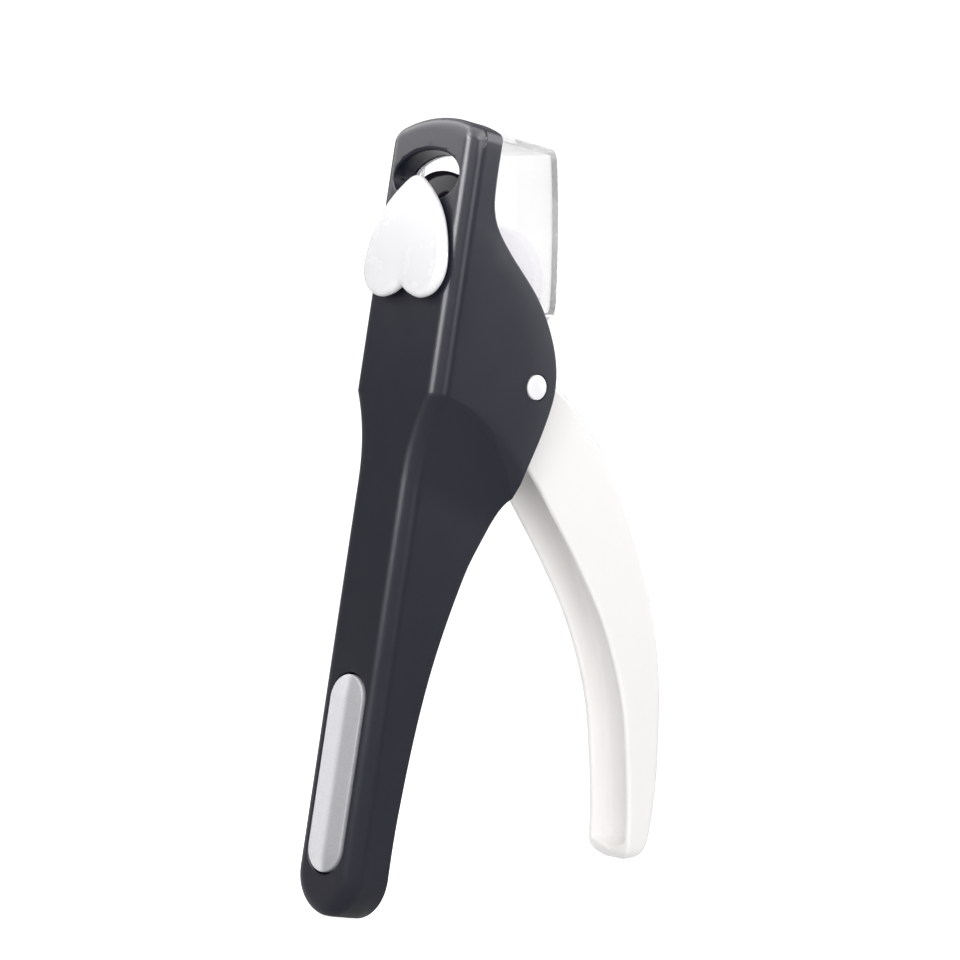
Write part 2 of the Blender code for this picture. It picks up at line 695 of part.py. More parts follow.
def make_carriage():
    """The slide block between the lever's arms, guided by the frame's channel."""
    carriage = add("blade_carriage", box_mesh("blade_carriage", (-3.0, 7.1, 94.6),
                                              (3.0, 11.0, 119.0)), ACETAL,
                   origin=(0, DRIVE_Y, DRIVE_Z))
    soften(carriage, 0.4)
    cut(carriage, "drive_bore", rod_mesh("bore", "X", -4, 4, (DRIVE_Y, DRIVE_Z),
                                         DRIVE_RADIUS + 0.12))
    cut(carriage, "lightening", box_mesh("pocket", (-1.8, 9.4, 104.6), (1.8, 12.0, 116.4)))
    add("drive_pin", rod_mesh("drive_pin", "X", -5.6, 5.6, (DRIVE_Y, DRIVE_Z), DRIVE_RADIUS),
        STEEL, origin=(0, DRIVE_Y, DRIVE_Z))
    return carriage


# ---------------------------------------------------------------- frame, cover

def make_inner_frame():
    """The white frame that guides the carriage, backs the plate and floors the clippings box."""
    right, top = LOBE_CENTRE[0] + LOBE_RADIUS, LOBE_CENTRE[1] + LOBE_RADIUS
    outline = [(FRAME_FRONT_Y, FRAME_BOTTOM), (20.2, FRAME_BOTTOM), (20.2, 119.6), (right, 119.6)]
    outline += arc(LOBE_CENTRE, LOBE_RADIUS, 0, 90, 12)
    outline += [(FRAME_FRONT_Y, top - 0.4)]
    frame = add("inner_frame", slab_mesh("inner_frame", outline, "X", -FRAME_HALF, FRAME_HALF),
                WHITE)
    wall = 1.6
    room = [(12.8, 110.0), (18.6, 110.0), (18.6, 121.2), (right - wall, 121.2)]
    room += arc(LOBE_CENTRE, LOBE_RADIUS - wall, 2, 90, 10)
    room += [(12.8, top - wall)]
    cut(frame, "room", slab_mesh("room", room, "X", wall - FRAME_HALF, FRAME_HALF - wall))
    cut(frame, "channel", box_mesh("channel", (-3.3, 6.0, 110.0), (3.3, 11.4, 135.0)))
    for side, x in (("left", -1), ("right", 1)):
        low, high = sorted((x * 6.8, x * FRAME_HALF))
        leg = [(13.4, FRAME_BOTTOM + 1.0)] + arc(PIVOT, 3.8, 200, 385, 14)
        leg += [(20.0, FRAME_BOTTOM + 1.0)]
        join(frame, f"leg_{side}", slab_mesh("leg", leg, "X", low, high))
        cut(frame, f"leg_bore_{side}", rod_mesh("bore", "X", min(low, high) - 1,
                                                max(low, high) + 1, PIVOT, BORE_RADIUS,
                                                sides=32))
        at = (x * FRAME_SCREW[0], FRAME_SCREW[1])
        join(frame, f"foot_{side}", rod_mesh("foot", "Y", PLATE_Y[1] + 0.25, 9.0, at, 1.8))
        cut(frame, f"screw_hole_{side}", rod_mesh("hole", "Y", 5, 14, at, 1.1, sides=16))
        name = f"frame_screw_{side}"
        screw = add(name, rod_mesh(name, "Y", 3.2, 13.3, at, 0.85, sides=12), STEEL)
        join(screw, "head", rod_mesh("head", "Y", 13.1, 14.3, at, 1.55, sides=16))
        cross_recess(screw, (at[0], 14.3, at[1]), 1)


def make_clear_cover():
    """The hinged clippings cover, open towards the head and at its foot."""
    back = smooth_path(COVER_BACK, 3)
    corner = arc((COVER_BACK[0][0] - 1.7, COVER_TOP - 1.7), 1.7, 90, 20, 4)
    front = [(COVER_HINGE[0] - BARREL_RADIUS - 0.1, COVER_HINGE[1] + 0.4),
             (COVER_FRONT_Y, COVER_HINGE[1] + 3.4), (COVER_FRONT_Y, COVER_TOP)]
    hook = [(26.4, 115.6), (24.4, COVER_HINGE[1] - 0.9)]
    outline = front + corner + back[1:] + hook
    cover = add("clear_cover", slab_mesh("clear_cover", outline, "X", -COVER_HALF, COVER_HALF),
                CLEAR, origin=(0, *COVER_HINGE))
    inside = offset_path(corner + back[1:], COVER_WALL)
    inside = [(3.0, COVER_TOP - COVER_WALL)] + inside + [(25.2, 117.1), (22.6, 117.3),
                                                        (20.9, 117.0), (20.9, 112.0),
                                                        (3.0, 112.0)]
    inner_half = COVER_HALF - COVER_WALL
    cut(cover, "inside", slab_mesh("inside", inside, "X", -inner_half, inner_half))
    join(cover, "barrel", rod_mesh("barrel", "X", -COVER_HALF, COVER_HALF, COVER_HINGE,
                                   BARREL_RADIUS, sides=20))
    cut(cover, "bore", rod_mesh("bore", "X", -12, 12, COVER_HINGE, HINGE_PIN_RADIUS + 0.12,
                                sides=16))
    for k in range(4):
        z = 119.6 + 1.3 * k
        y = along([(b[1], b[0]) for b in reversed(COVER_BACK)], z)
        join(cover, f"thumb_rib_{k}", rod_mesh("rib", "X", -5.0, 5.0, (y - 0.1, z), 0.4,
                                               sides=8))
    add("cover_hinge_pin", rod_mesh("cover_hinge_pin", "X", -11.2, 11.2, COVER_HINGE,
                                    HINGE_PIN_RADIUS, sides=16), STEEL)


# ---------------------------------------------------------------- lever and pivot

def lever_outline():
    """Side view: driving arm, hub, curved grip and round tip."""
    drive = (DRIVE_Y, DRIVE_Z)
    arm_deg = math.degrees(math.atan2(DRIVE_Z - PIVOT[1], DRIVE_Y - PIVOT[0])) % 360
    blend = math.degrees(math.asin(ARM_HALF / HUB_RADIUS))
    outline = arc(drive, ARM_HALF, arm_deg + 90, arm_deg - 90, 8)
    outline += arc(PIVOT, HUB_RADIUS, arm_deg - blend, 96, 6)
    outline += smooth_path(LEVER_BACK, 3)
    outline += LEVER_TIP
    outline += smooth_path(LEVER_FRONT, 3)[:-1]
    outline += arc(PIVOT, HUB_RADIUS, 252, arm_deg + blend, 2)
    return outline


def make_lever():
    """The lever, wide below the casing and narrow at the hub, with its pivot parts."""
    origin = (0, *PIVOT)
    lever = add("lever", slab_mesh("lever", lever_outline(), "X", -GRIP_HALF, GRIP_HALF),
                WHITE, origin=origin)
    head_z = PIVOT[1] + HUB_RADIUS + 5.0
    hub_side = [(0.0, HUB_FOOT_Z), (HUB_REAR_Y, HUB_FOOT_Z), (HUB_REAR_Y, head_z), (0.0, head_z)]
    for name, side in (("hub_left", -1), ("hub_right", 1)):
        low, high = sorted((side * LEVER_HALF, side * (GRIP_HALF + 1.0)))
        cut(lever, name, slab_mesh(name, hub_side, "X", low, high))
    back = offset_path(smooth_path(LEVER_BACK, 3), WEB)
    groove = [p for p in back if p[0] > 33.0]
    groove += GROOVE_MOUTH + [(24.0, 86.0), (0.0, 86.0), (0.0, 112.0), (30.5, 112.0), (30.5, 104.0)]
    cut(lever, "groove", slab_mesh("groove", groove, "X", -LEVER_INNER, LEVER_INNER))
    wide = [p for p in back if p[0] > GROOVE_ROOT[0]] + GROOVE_MOUTH + [(32.0, 82.0)]
    cut(lever, "wide_groove", slab_mesh("wide_groove", wide, "X", -GRIP_INNER, GRIP_INNER))
    cut(lever, "bore", rod_mesh("bore", "X", -6, 6, PIVOT, BORE_RADIUS, sides=32))
    cut(lever, "drive_slot", drive_slot_mesh())
    make_tube("lever_bush", -3.1, 3.1, 2.6, STEEL)
    for side, x in (("left", -1), ("right", 1)):
        low, high = sorted((x * 5.25, x * 6.55))
        make_tube(f"lever_washer_{side}", low, high, 3.4, ACETAL)
        low, high = sorted((x * 11.55, x * 12.62))
        cap = add(f"pin_cap_{side}", rod_mesh("cap", "X", low, high, PIVOT, 2.37, sides=32), WHITE)
        soften(cap, 0.2)
    pin = add("pivot_pin", rod_mesh("pivot_pin", "X", -11.2, 11.2, PIVOT, PIN_RADIUS, sides=32),
              STEEL)
    soften(pin, 0.2)


def drive_slot_mesh():
    """The slot in the lever's arms, which runs along them as the pin's distance changes."""
    reach = PIVOT[0] - DRIVE_Y
    swing = math.radians(SQUEEZE_DEG / 2)
    near, far = reach, reach / math.cos(swing)
    half = DRIVE_RADIUS + 0.25
    outline = arc((near, 0), half, 270, 90, 8) + arc((far, 0), half, 90, -90, 8)
    turn = math.pi + swing
    turned = [(PIVOT[0] + u * math.cos(turn) - v * math.sin(turn),
               PIVOT[1] + u * math.sin(turn) + v * math.cos(turn)) for u, v in outline]
    return slab_mesh("slot", turned, "X", -6, 6)


def make_tube(name, low, high, outer, finish):
    """A short tube round the pivot that turns with the lever."""
    tube = add(name, rod_mesh(name, "X", low, high, PIVOT, outer), finish, origin=(0, *PIVOT))
    cut(tube, "bore", rod_mesh("bore", "X", low - 1, high + 1, PIVOT, BORE_RADIUS))


def make_torsion_spring():
    """The return spring: a close coil round the bush with one leg on the frame, one in the lever."""
    turns, per_turn, radius, wire = 4, 12, 3.3, 0.42
    start_deg, sweep = 118.0, 360.0 * turns - 120.0
    points = [(-2.1, 12.6, 112.3), (-2.1, 15.5, 110.4)]
    count = round(per_turn * turns)
    for k in range(count + 1):
        share = k / count
        angle = math.radians(start_deg + sweep * share)
        x = -2.1 + 4.2 * share
        points.append((x, PIVOT[0] + radius * math.cos(angle),
                       PIVOT[1] + radius * math.sin(angle)))
    points += [(2.1, 29.6, 102.6), (2.1, 35.0, 101.5), (2.1, 41.0, 98.2)]
    curve = bpy.data.curves.new("torsion_spring", "CURVE")
    curve.dimensions = "3D"
    curve.bevel_depth = wire * MM
    curve.bevel_resolution = 1
    curve.use_fill_caps = True
    spline = curve.splines.new("POLY")
    spline.points.add(len(points) - 1)
    for target, (x, y, z) in zip(spline.points, points):
        target.co = (x * MM, y * MM, z * MM, 1)
    spring = bpy.data.objects.new("torsion_spring", curve)
    spring.parent = ASSEMBLY
    PARTS.objects.link(spring)
    curve.materials.append(SPRING_STEEL)


# ---------------------------------------------------------------- hole-size slider

def heart_outline(steps=10):
    """A heart with its point up, as one side's curve and its mirror image."""
    half = HEART_WIDTH / 2
    side = [(0.0, HEART_TIP), (2.9, 137.0), (7.4, 133.2), (10.3, 128.4), (half, 122.6),
            (11.6, 118.9), (9.2, 116.0), (5.9, HEART_LOBE), (2.4, 116.0), (0.0, HEART_NOTCH)]
    right = smooth_path(side, max(2, steps // 4))
    left = [(-x, z) for x, z in reversed(right[1:-1])]
    return right + left


def make_slider():
    home = (0, 0, sum(STEM_Z) / 2)
    outline = heart_outline()
    middle = (0.0, 126.0)
    rings = []
    for y, inset in ((-GAP, 0.5), (-0.8, 0.0), (-2.3, 0.0), (-3.0, 0.45), (HEART_FRONT, 1.3)):
        ring = []
        for x, z in outline:
            reach = math.hypot(x - middle[0], z - middle[1])
            share = 1 - inset / reach
            ring.append((middle[0] + (x - middle[0]) * share, y,
                         middle[1] + (z - middle[1]) * share))
        rings.append(ring)
    heart = add("heart_button", loft_mesh("heart_button", rings), WHITE, origin=home)
    join(heart, "stem", box_mesh("stem", (-1.6, -1.2, STEM_Z[0]), (1.6, 1.95, STEM_Z[1])))
    cut(heart, "pilot", rod_mesh("pilot", "Y", -1.6, 2.4, (0, 126.5), 0.9, sides=12))
    half = TONGUE_HALF
    top = []
    for k in range(15):
        x = half - 2 * half * k / 14
        top.append((x, TONGUE_TOP - TONGUE_ARC + math.sqrt(TONGUE_ARC**2 - x * x)))
    outline = [(-3.0, 118.3), (3.0, 118.3), (3.0, 127.9), (half, 128.6)] + top
    outline += [(-half, 128.6), (-3.0, 127.9)]
    tongue = add("slider_tongue", slab_mesh("slider_tongue", outline, "Y", *TONGUE_Y),
                 BLACK_GLOSS, origin=home)
    roll = [(1.0, TONGUE_TOP + 1), (1.0, TONGUE_TOP - 4.2)]
    roll += [(TONGUE_Y[0] - 0.02, TONGUE_TOP - 4.2), (TONGUE_Y[0] + 0.2, TONGUE_TOP - 2.6),
             (TONGUE_Y[0] + 0.75, TONGUE_TOP - 1.1), (TONGUE_Y[0] + 1.5, TONGUE_TOP + 0.02),
             (TONGUE_Y[0] + 1.5, TONGUE_TOP + 1)]
    cut(tongue, "roll", slab_mesh("roll", roll, "X", -12, 12))
    clicks = round((SLIDE_DOWN + SLIDE_UP) / CLICK) + 1
    for k in range(clicks):
        z = 120.8 - SLIDE_UP + CLICK * k
        cut(tongue, f"click_{k}", rod_mesh("click", "Y", 1.5, 5.5, (3.2, z), 0.5, sides=8))
    cut(tongue, "sink", rod_mesh("sink", "Y", TONGUE_Y[0] - 0.3, TONGUE_Y[1] + 0.2, (0, 126.5),
                                 0.95, 1.9, sides=16))
    screw = add("slider_screw", rod_mesh("slider_screw", "Y", -1.2, TONGUE_Y[0] + 1.2,
                                         (0, 126.5), 0.6, sides=12), STEEL, origin=home)
    join(screw, "head", rod_mesh("head", "Y", TONGUE_Y[0] + 1.0, TONGUE_Y[1] - 0.1, (0, 126.5),
                                 0.7, 1.4, sides=16))
    cut(screw, "slot", box_mesh("slot", (-2, TONGUE_Y[1] - 0.45, 126.32),
                                (2, TONGUE_Y[1] + 0.5, 126.68)))
    strip = [(4.1, 118.4), (4.1, 119.9), (3.35, 120.8), (4.1, 121.7), (4.1, 123.1)]
    outline = strip + [(x + 0.4, z) for x, z in reversed(strip)]
    add("detent_spring", slab_mesh("detent_spring", outline, "Y", 2.5, 4.5), SPRING_STEEL)


make_front_shell()
make_handle_back()
make_nail_file()
make_fixed_blade()
make_moving_blade()
make_inner_frame()
make_clear_cover()
make_lever()
make_torsion_spring()
make_slider()
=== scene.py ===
"""Looks of the pet nail trimmer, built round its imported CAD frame.

Sizes are millimetres: x from the middle plane, y backwards from the casing's front face, z up from
the handle's end. Each piece is modelled in those axes and moved into the frame's metres when it is
finished. Positions shared with the mechanism are read from the frame's nodes.
"""
import math

import bmesh
import bpy
from mathutils import Matrix, Vector


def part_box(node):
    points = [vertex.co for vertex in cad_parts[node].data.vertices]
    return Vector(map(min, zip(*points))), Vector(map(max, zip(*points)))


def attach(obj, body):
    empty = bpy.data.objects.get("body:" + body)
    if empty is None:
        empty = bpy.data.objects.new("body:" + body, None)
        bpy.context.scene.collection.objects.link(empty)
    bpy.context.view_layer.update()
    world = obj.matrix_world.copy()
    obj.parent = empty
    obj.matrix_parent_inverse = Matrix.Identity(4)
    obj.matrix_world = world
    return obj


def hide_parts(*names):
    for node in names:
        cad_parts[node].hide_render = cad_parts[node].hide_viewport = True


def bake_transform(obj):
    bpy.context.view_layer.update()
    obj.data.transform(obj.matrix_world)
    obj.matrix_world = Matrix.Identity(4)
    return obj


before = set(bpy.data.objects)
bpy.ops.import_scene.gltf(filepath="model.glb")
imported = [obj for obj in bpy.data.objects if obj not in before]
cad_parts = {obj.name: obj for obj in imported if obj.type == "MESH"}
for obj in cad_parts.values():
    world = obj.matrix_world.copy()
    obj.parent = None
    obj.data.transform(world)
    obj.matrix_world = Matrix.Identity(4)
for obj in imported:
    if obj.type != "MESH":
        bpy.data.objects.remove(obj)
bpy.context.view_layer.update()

MM = 0.001
FRONT = Vector((0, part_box("front_shell")[0][1], 0))
TO_FRAME = Matrix.Translation(FRONT) @ Matrix.Diagonal((MM, MM, MM, 1))


def node_box(node):
    """A CAD node's lowest and highest corner in millimetres from the front face."""
    low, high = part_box(node)
    return (Vector(low) - FRONT) / MM, (Vector(high) - FRONT) / MM


def node_centre(node):
    return sum(node_box(node), Vector()) / 2


def in_frame(x, y, z):
    """A point given in millimetres, in the frame's metres."""
    return Vector((x, y, z)) * MM + FRONT


SHELL = node_box("front_shell")
PLATE = node_box("fixed_blade")
TONGUE = node_box("slider_tongue")
HEART = node_box("heart_button")
FILE = node_box("nail_file")
COVER = node_box("clear_cover")
FRAME = node_box("inner_frame")
CAP = node_box("pin_cap_right")
LEVER = node_box("lever")
HINGE = node_centre("cover_hinge_pin")
PIVOT = node_centre("lever_bush").yz
DRIVE = node_centre("drive_pin").yz
DRIVE_TURN = math.atan2(DRIVE[1] - PIVOT[1], DRIVE[0] - PIVOT[0])
PIVOT_BORE = 1.75

# Casing
LENGTH = SHELL[1].z
HEAD_HALF = SHELL[1].x
HANDLE_HALF = 8.33
SIDE_ROUND = 3.2
TOP_ROUND = 2.5
REAR_ROUND = 0.3
REAR_PROUD = 0.15
RIM_ROUND = 0.5
END_RADIUS = HANDLE_HALF
END_CENTRE = END_RADIUS - 0.12
ARCH_RADIUS = 28.0
ARCH_CENTRE = LENGTH + 0.06 - ARCH_RADIUS
SHOULDER_ROUND = 2.9
FRONT_WALL = 1.9
SIDE_WALL = 1.9
CAVITY_TOP = 131.5
CREASE = [(0.0, 97.6), (4.0, 97.2), (8.0, 96.0), (12.0, 94.1), (15.7, 91.4), (18.7, 88.3),
          (21.0, 85.2), (22.6, 82.3), (23.6, 80.0), (26.0, 74.5)]
CREASE_REACH = 23.0
NECK_FOOT = (80.0, 73.5)
NECK_POWER = 2.3
NECK_TOP = 101.0
CHEEK_PULL = 0.15
CHEEK_SOFT = 8.0
CHEEK_SPAN = (82.0, 136.0)
REAR_EDGE = [(0, 9.2), (20, 9.3), (45, 11.7), (66, 16.8), (77, 21.6), (82, 23.0), (95, 27.6),
             (103.5, 29.2), (111, 27.3), (119, 21.8), (127, 12.3), (131, 8.6), (135.5, 7.1),
             (150, 7.0)]
HOLE_Z = 138.4
HOLE_HALF = (9.3, 5.0)
HOLE_SHARP = 0.3
HOLE_DISH = 0.6
MOUTH_START = -0.8
POCKET_GAP = 0.46
POCKET_FLARE = 0.18
SEAT_RADIUS = 2.6

# Lever
LEVER_BACK = [(24.4, 108.9), (36.4, 104.8), (45.2, 98.5), (54.1, 90.3), (66.1, 73.3),
              (73.8, 55.1), (77.4, 36.3), (78.2, 25.5)]
LEVER_FRONT = [(22.4, 97.0), (26.1, 94.2), (30.9, 88.7), (37.6, 82.2), (48.9, 70.8), (57.9, 59.9),
               (65.1, 46.9), (69.1, 34.0), (71.4, 23.5)]
TIP_BACK = [(78.2, 25.5), (77.9, 20.5), (76.9, 17.1), (75.2, 15.85)]
TIP_FRONT = [(71.4, 23.5), (71.9, 20.0), (72.6, 17.4), (74.2, 15.9)]
TIP_APEX = (74.8, LEVER[0].z)
GRIP_HALF = LEVER[1].x
HUB_HALF = GRIP_HALF - 0.9
HUB_RADIUS = 6.0
ARM_HALF = 3.2
ARM_INNER = 3.44
SLOT_RADIUS = 1.45
LEVER_START = 0.03
LEVER_WALL = 1.35
LEVER_WEB = 1.8
GROOVE_DEPTH = 4.6
OUTER_ROUND = 1.3
LIP_ROUND = 0.72
GROOVE_FILLET = 1.2

# Clear cover
CORNER_ROUND = 1.7
RIB_COUNT = 4
RIB_FOOT = 119.6
RIB_PITCH = 1.3

# Heart and tongue
HEART_HALF = 11.1
HEART_NOTCH = 117.4
HEART_MIDDLE = 126.0
SLIDER_SCREW_Z = 126.5
TONGUE_FOOT = 128.3
TONGUE_ARCH = 13.5


# ---------------------------------------------------------------- curves and meshes

def clamp(value, low=0.0, high=1.0):
    return max(low, min(high, value))


def smooth(value):
    """0 to 1 with flat ends."""
    t = clamp(value)
    return t * t * (3 - 2 * t)


def blend(low, high, share):
    return low + (high - low) * share


def along(points, value):
    """Smooth curve through (key, result) points, read at a key."""
    last = len(points) - 2
    index = 0
    while index < last and value > points[index + 1][0]:
        index += 1

    def slope(k):
        before = points[max(k - 1, 0)]
        after = points[min(k + 1, len(points) - 1)]
        return (after[1] - before[1]) / (after[0] - before[0])

    (x0, y0), (x1, y1) = points[index], points[index + 1]
    step = x1 - x0
    t = clamp((value - x0) / step)
    return ((2 * t**3 - 3 * t**2 + 1) * y0 + (t**3 - 2 * t**2 + t) * step * slope(index)
            + (3 * t**2 - 2 * t**3) * y1 + (t**3 - t**2) * step * slope(index + 1))


def smooth_path(points, steps):
    """Points of a smooth curve through every control point."""
    last = len(points) - 1
    path = []
    for k in range(last):
        p0 = Vector(points[max(k - 1, 0)])
        p1, p2 = Vector(points[k]), Vector(points[k + 1])
        p3 = Vector(points[min(k + 2, last)])
        for step in range(steps):
            t = step / steps
            path.append(tuple(0.5 * (2 * p1 + (p2 - p0) * t + (2 * p0 - 5 * p1 + 4 * p2 - p3) * t * t
                                     + (3 * p1 - p0 - 3 * p2 + p3) * t**3)))
    path.append(tuple(points[-1]))
    return path


def evenly(path, shares):
    """Points at shares of a path's length."""
    lengths = [0.0]
    for a, b in zip(path, path[1:]):
        lengths.append(lengths[-1] + (Vector(b) - Vector(a)).length)
    found = []
    for share in shares:
        goal = share * lengths[-1]
        k = 0
        while k < len(path) - 2 and lengths[k + 1] < goal:
            k += 1
        t = (goal - lengths[k]) / (lengths[k + 1] - lengths[k])
        found.append(Vector(path[k]).lerp(Vector(path[k + 1]), t))
    return found


def arc(centre, radius, start, end, steps):
    angles = [math.radians(blend(start, end, k / steps)) for k in range(steps + 1)]
    return [(centre[0] + radius * math.cos(a), centre[1] + radius * math.sin(a)) for a in angles]


def ellipse(centre, half, steps):
    angles = [2 * math.pi * k / steps for k in range(steps)]
    return [(centre[0] + half[0] * math.cos(a), centre[1] + half[1] * math.sin(a))
            for a in angles]


def stadium(half, straight, centre_z, steps=28):
    """An upright slot outline in x and z."""
    return (arc((0, centre_z + straight), half, 0, 180, steps)
            + arc((0, centre_z - straight), half, 180, 360, steps))


def arched(half, radius, bottom, steps=36):
    """Straight sides under a top concentric with the head's arch."""
    across = [blend(half, -half, k / steps) for k in range(steps + 1)]
    return [(-half, bottom), (half, bottom)] + [
        (x, ARCH_CENTRE + math.sqrt(radius**2 - x * x)) for x in across]


def offset_path(path, distance):
    """An open path moved sideways, to the right of its direction."""
    moved = []
    for k, point in enumerate(path):
        before = path[max(k - 1, 0)]
        after = path[min(k + 1, len(path) - 1)]
        run = Vector((after[0] - before[0], after[1] - before[1])).normalized()
        moved.append((point[0] + run.y * distance, point[1] - run.x * distance))
    return moved


def mesh_from(name, build):
    work = bmesh.new()
    build(work)
    bmesh.ops.remove_doubles(work, verts=work.verts, dist=1e-4)
    bmesh.ops.recalc_face_normals(work, faces=work.faces)
    mesh = bpy.data.meshes.new(name)
    work.to_mesh(mesh)
    work.free()
    return mesh


def skin(name, rings, caps=True):
    """Skins rings of points, all with the same number of points."""
    def build(work):
        rows = [[work.verts.new(point) for point in ring] for ring in rings]
        count = len(rows[0])
        for low, high in zip(rows, rows[1:]):
            for k in range(count):
                after = (k + 1) % count
                work.faces.new((low[k], low[after], high[after], high[k]))
        if caps:
            work.faces.new(rows[0])
            work.faces.new(rows[-1])
    return mesh_from(name, build)


def slab(name, outline, direction, start, end):
    """An outline extruded along X (outline in y, z) or along Y (outline in x, z)."""
    if direction == "X":
        rings = [[(at, u, v) for u, v in outline] for at in (start, end)]
    else:
        rings = [[(u, at, v) for u, v in outline] for at in (start, end)]
    return skin(name, rings)


def box(name, low, high):
    outline = [(low[0], low[2]), (high[0], low[2]), (high[0], high[2]), (low[0], high[2])]
    return slab(name, outline, "Y", low[1], high[1])


def turned(name, profile, direction, across, sides=64):
    """A profile of (position, radius) pairs turned about a line along X or Y."""
    rings = []
    for at, radius in profile:
        ring = []
        for u, v in ellipse(across, (radius, radius), sides):
            ring.append((at, u, v) if direction == "X" else (u, at, v))
        rings.append(ring)
    return skin(name, rings)


def linked(name, data):
    """A new object in the scene."""
    made = bpy.data.objects.new(name, data)
    bpy.context.scene.collection.objects.link(made)
    return made


def evaluated_mesh(holder):
    """The mesh of an object after its modifiers or its curve's bevel."""
    bpy.context.view_layer.update()
    evaluated = holder.evaluated_get(bpy.context.evaluated_depsgraph_get())
    return bpy.data.meshes.new_from_object(evaluated)


def modified(mesh, *steps):
    """The mesh after modifiers. Each step is ("DIFFERENCE" or "UNION", shape) or a bevel width."""
    holder = linked("holder", mesh)
    tools = []
    for step in steps:
        if isinstance(step, tuple):
            tool = linked("tool", step[1])
            tools.append(tool)
            change = holder.modifiers.new("carve", "BOOLEAN")
            change.operation = step[0]
            change.object = tool
        else:
            change = holder.modifiers.new("edges", "BEVEL")
            change.width = step
            change.segments = 3
            change.limit_method = "ANGLE"
            change.angle_limit = math.radians(40)
    result = evaluated_mesh(holder)
    for used in [holder] + tools:
        bpy.data.objects.remove(used)
    return result


def cut(shape):
    return ("DIFFERENCE", shape)


def union(shape):
    return ("UNION", shape)


def placed(name, mesh, finish):
    """An object of a mesh moved into the frame's metres, smooth and with one material."""
    mesh.transform(TO_FRAME)
    mesh.name = name
    made = linked(name, mesh)
    mesh.materials.clear()
    mesh.materials.append(finish)
    mesh.shade_smooth()
    return made


def piece(name, mesh, body, finish, stands_for, sharp=32):
    """Puts a finished mesh into the frame, riding on a body."""
    made = placed(name, mesh, finish)
    mesh.set_sharp_from_angle(angle=math.radians(sharp))
    normals = made.modifiers.new("normals", "WEIGHTED_NORMAL")
    normals.keep_sharp = True
    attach(made, body)
    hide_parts(*stands_for)


# ---------------------------------------------------------------- materials

def srgb(red, green, blue):
    """A display colour of 0 to 255 as linear values."""
    def linear(value):
        share = value / 255
        return share / 12.92 if share <= 0.04045 else ((share + 0.055) / 1.055) ** 2.4
    return (linear(red), linear(green), linear(blue), 1.0)


def new_material(name, **values):
    made = bpy.data.materials.new(name)
    made.use_nodes = True
    shader = made.node_tree.nodes["Principled BSDF"]
    for socket, value in values.items():
        shader.inputs[socket.replace("_", " ")].default_value = value
    return made, made.node_tree, shader


def node(tree, kind, **values):
    made = tree.nodes.new(kind)
    for key, value in values.items():
        if hasattr(made, key):
            setattr(made, key, value)
        else:
            made.inputs[key].default_value = value
    return made


def coordinates(tree, scale=(1, 1, 1)):
    """Object coordinates in metres, scaled."""
    source = node(tree, "ShaderNodeTexCoord")
    mapping = node(tree, "ShaderNodeMapping")
    mapping.inputs["Scale"].default_value = scale
    tree.links.new(source.outputs["Object"], mapping.inputs["Vector"])
    return mapping.outputs["Vector"]


def noise(tree, vector, size, detail=3.0, rough=0.5):
    """Noise whose features are about size millimetres across."""
    made = node(tree, "ShaderNodeTexNoise", Scale=1 / (size * MM), Detail=detail, Roughness=rough)
    tree.links.new(vector, made.inputs["Vector"])
    return made.outputs["Fac"]


def spread(tree, value, low, high):
    """Maps the middle of a noise's range onto low to high."""
    made = node(tree, "ShaderNodeMapRange")
    made.inputs["From Min"].default_value = 0.3
    made.inputs["From Max"].default_value = 0.7
    made.inputs["To Min"].default_value = low
    made.inputs["To Max"].default_value = high
    tree.links.new(value, made.inputs["Value"])
    return made.outputs["Result"]


def mix_colour(tree, factor, first, second):
    """A mix of two colours, each given as a value or as another node's output."""
    made = node(tree, "ShaderNodeMix", data_type="RGBA")
    ends = [socket for socket in made.inputs if socket.type == "RGBA"]
    for end, colour in zip(ends, (first, second)):
        if isinstance(colour, bpy.types.NodeSocket):
            tree.links.new(colour, end)
        else:
            end.default_value = colour
    tree.links.new(factor, made.inputs["Factor"])
    return [socket for socket in made.outputs if socket.type == "RGBA"][0]


def bump(tree, height, depth, strength, after=None):
    """Bump of a depth in millimetres."""
    made = node(tree, "ShaderNodeBump")
    made.inputs["Strength"].default_value = strength
    made.inputs["Distance"].default_value = depth * MM
    tree.links.new(height, made.inputs["Height"])
    if after is not None:
        tree.links.new(after, made.inputs["Normal"])
    return made.outputs["Normal"]


def moulded(name, colour, shade, roughness, grain, grain_depth, wave=0.02, **values):
    """Moulded plastic: slight colour drift, fine mould grain and uneven gloss."""
    made, tree, shader = new_material(name, **values)
    place = coordinates(tree)
    drift = spread(tree, noise(tree, place, 22.0), 0.0, 1.0)
    tree.links.new(mix_colour(tree, drift, colour, shade), shader.inputs["Base Color"])
    gloss = spread(tree, noise(tree, place, 6.0), *roughness)
    tree.links.new(gloss, shader.inputs["Roughness"])
    fine = bump(tree, noise(tree, place, grain, detail=2.0), grain_depth, 0.6)
    waves = bump(tree, noise(tree, place, 9.0, detail=1.0), wave, 0.4, after=fine)
    tree.links.new(waves, shader.inputs["Normal"])
    return made


def brushed(name, colour, shade, roughness, stretch, **values):
    """Metal with fine brush lines, drawn out along an axis whose stretch is below 1."""
    made, tree, shader = new_material(name, Metallic=1.0, **values)
    place = coordinates(tree, scale=stretch)
    lines = noise(tree, place, 0.35, detail=4.0, rough=0.6)
    tree.links.new(mix_colour(tree, spread(tree, lines, 0.0, 1.0), colour, shade),
                   shader.inputs["Base Color"])
    tree.links.new(spread(tree, lines, *roughness), shader.inputs["Roughness"])
    tree.links.new(bump(tree, lines, 0.01, 0.5), shader.inputs["Normal"])
    return made


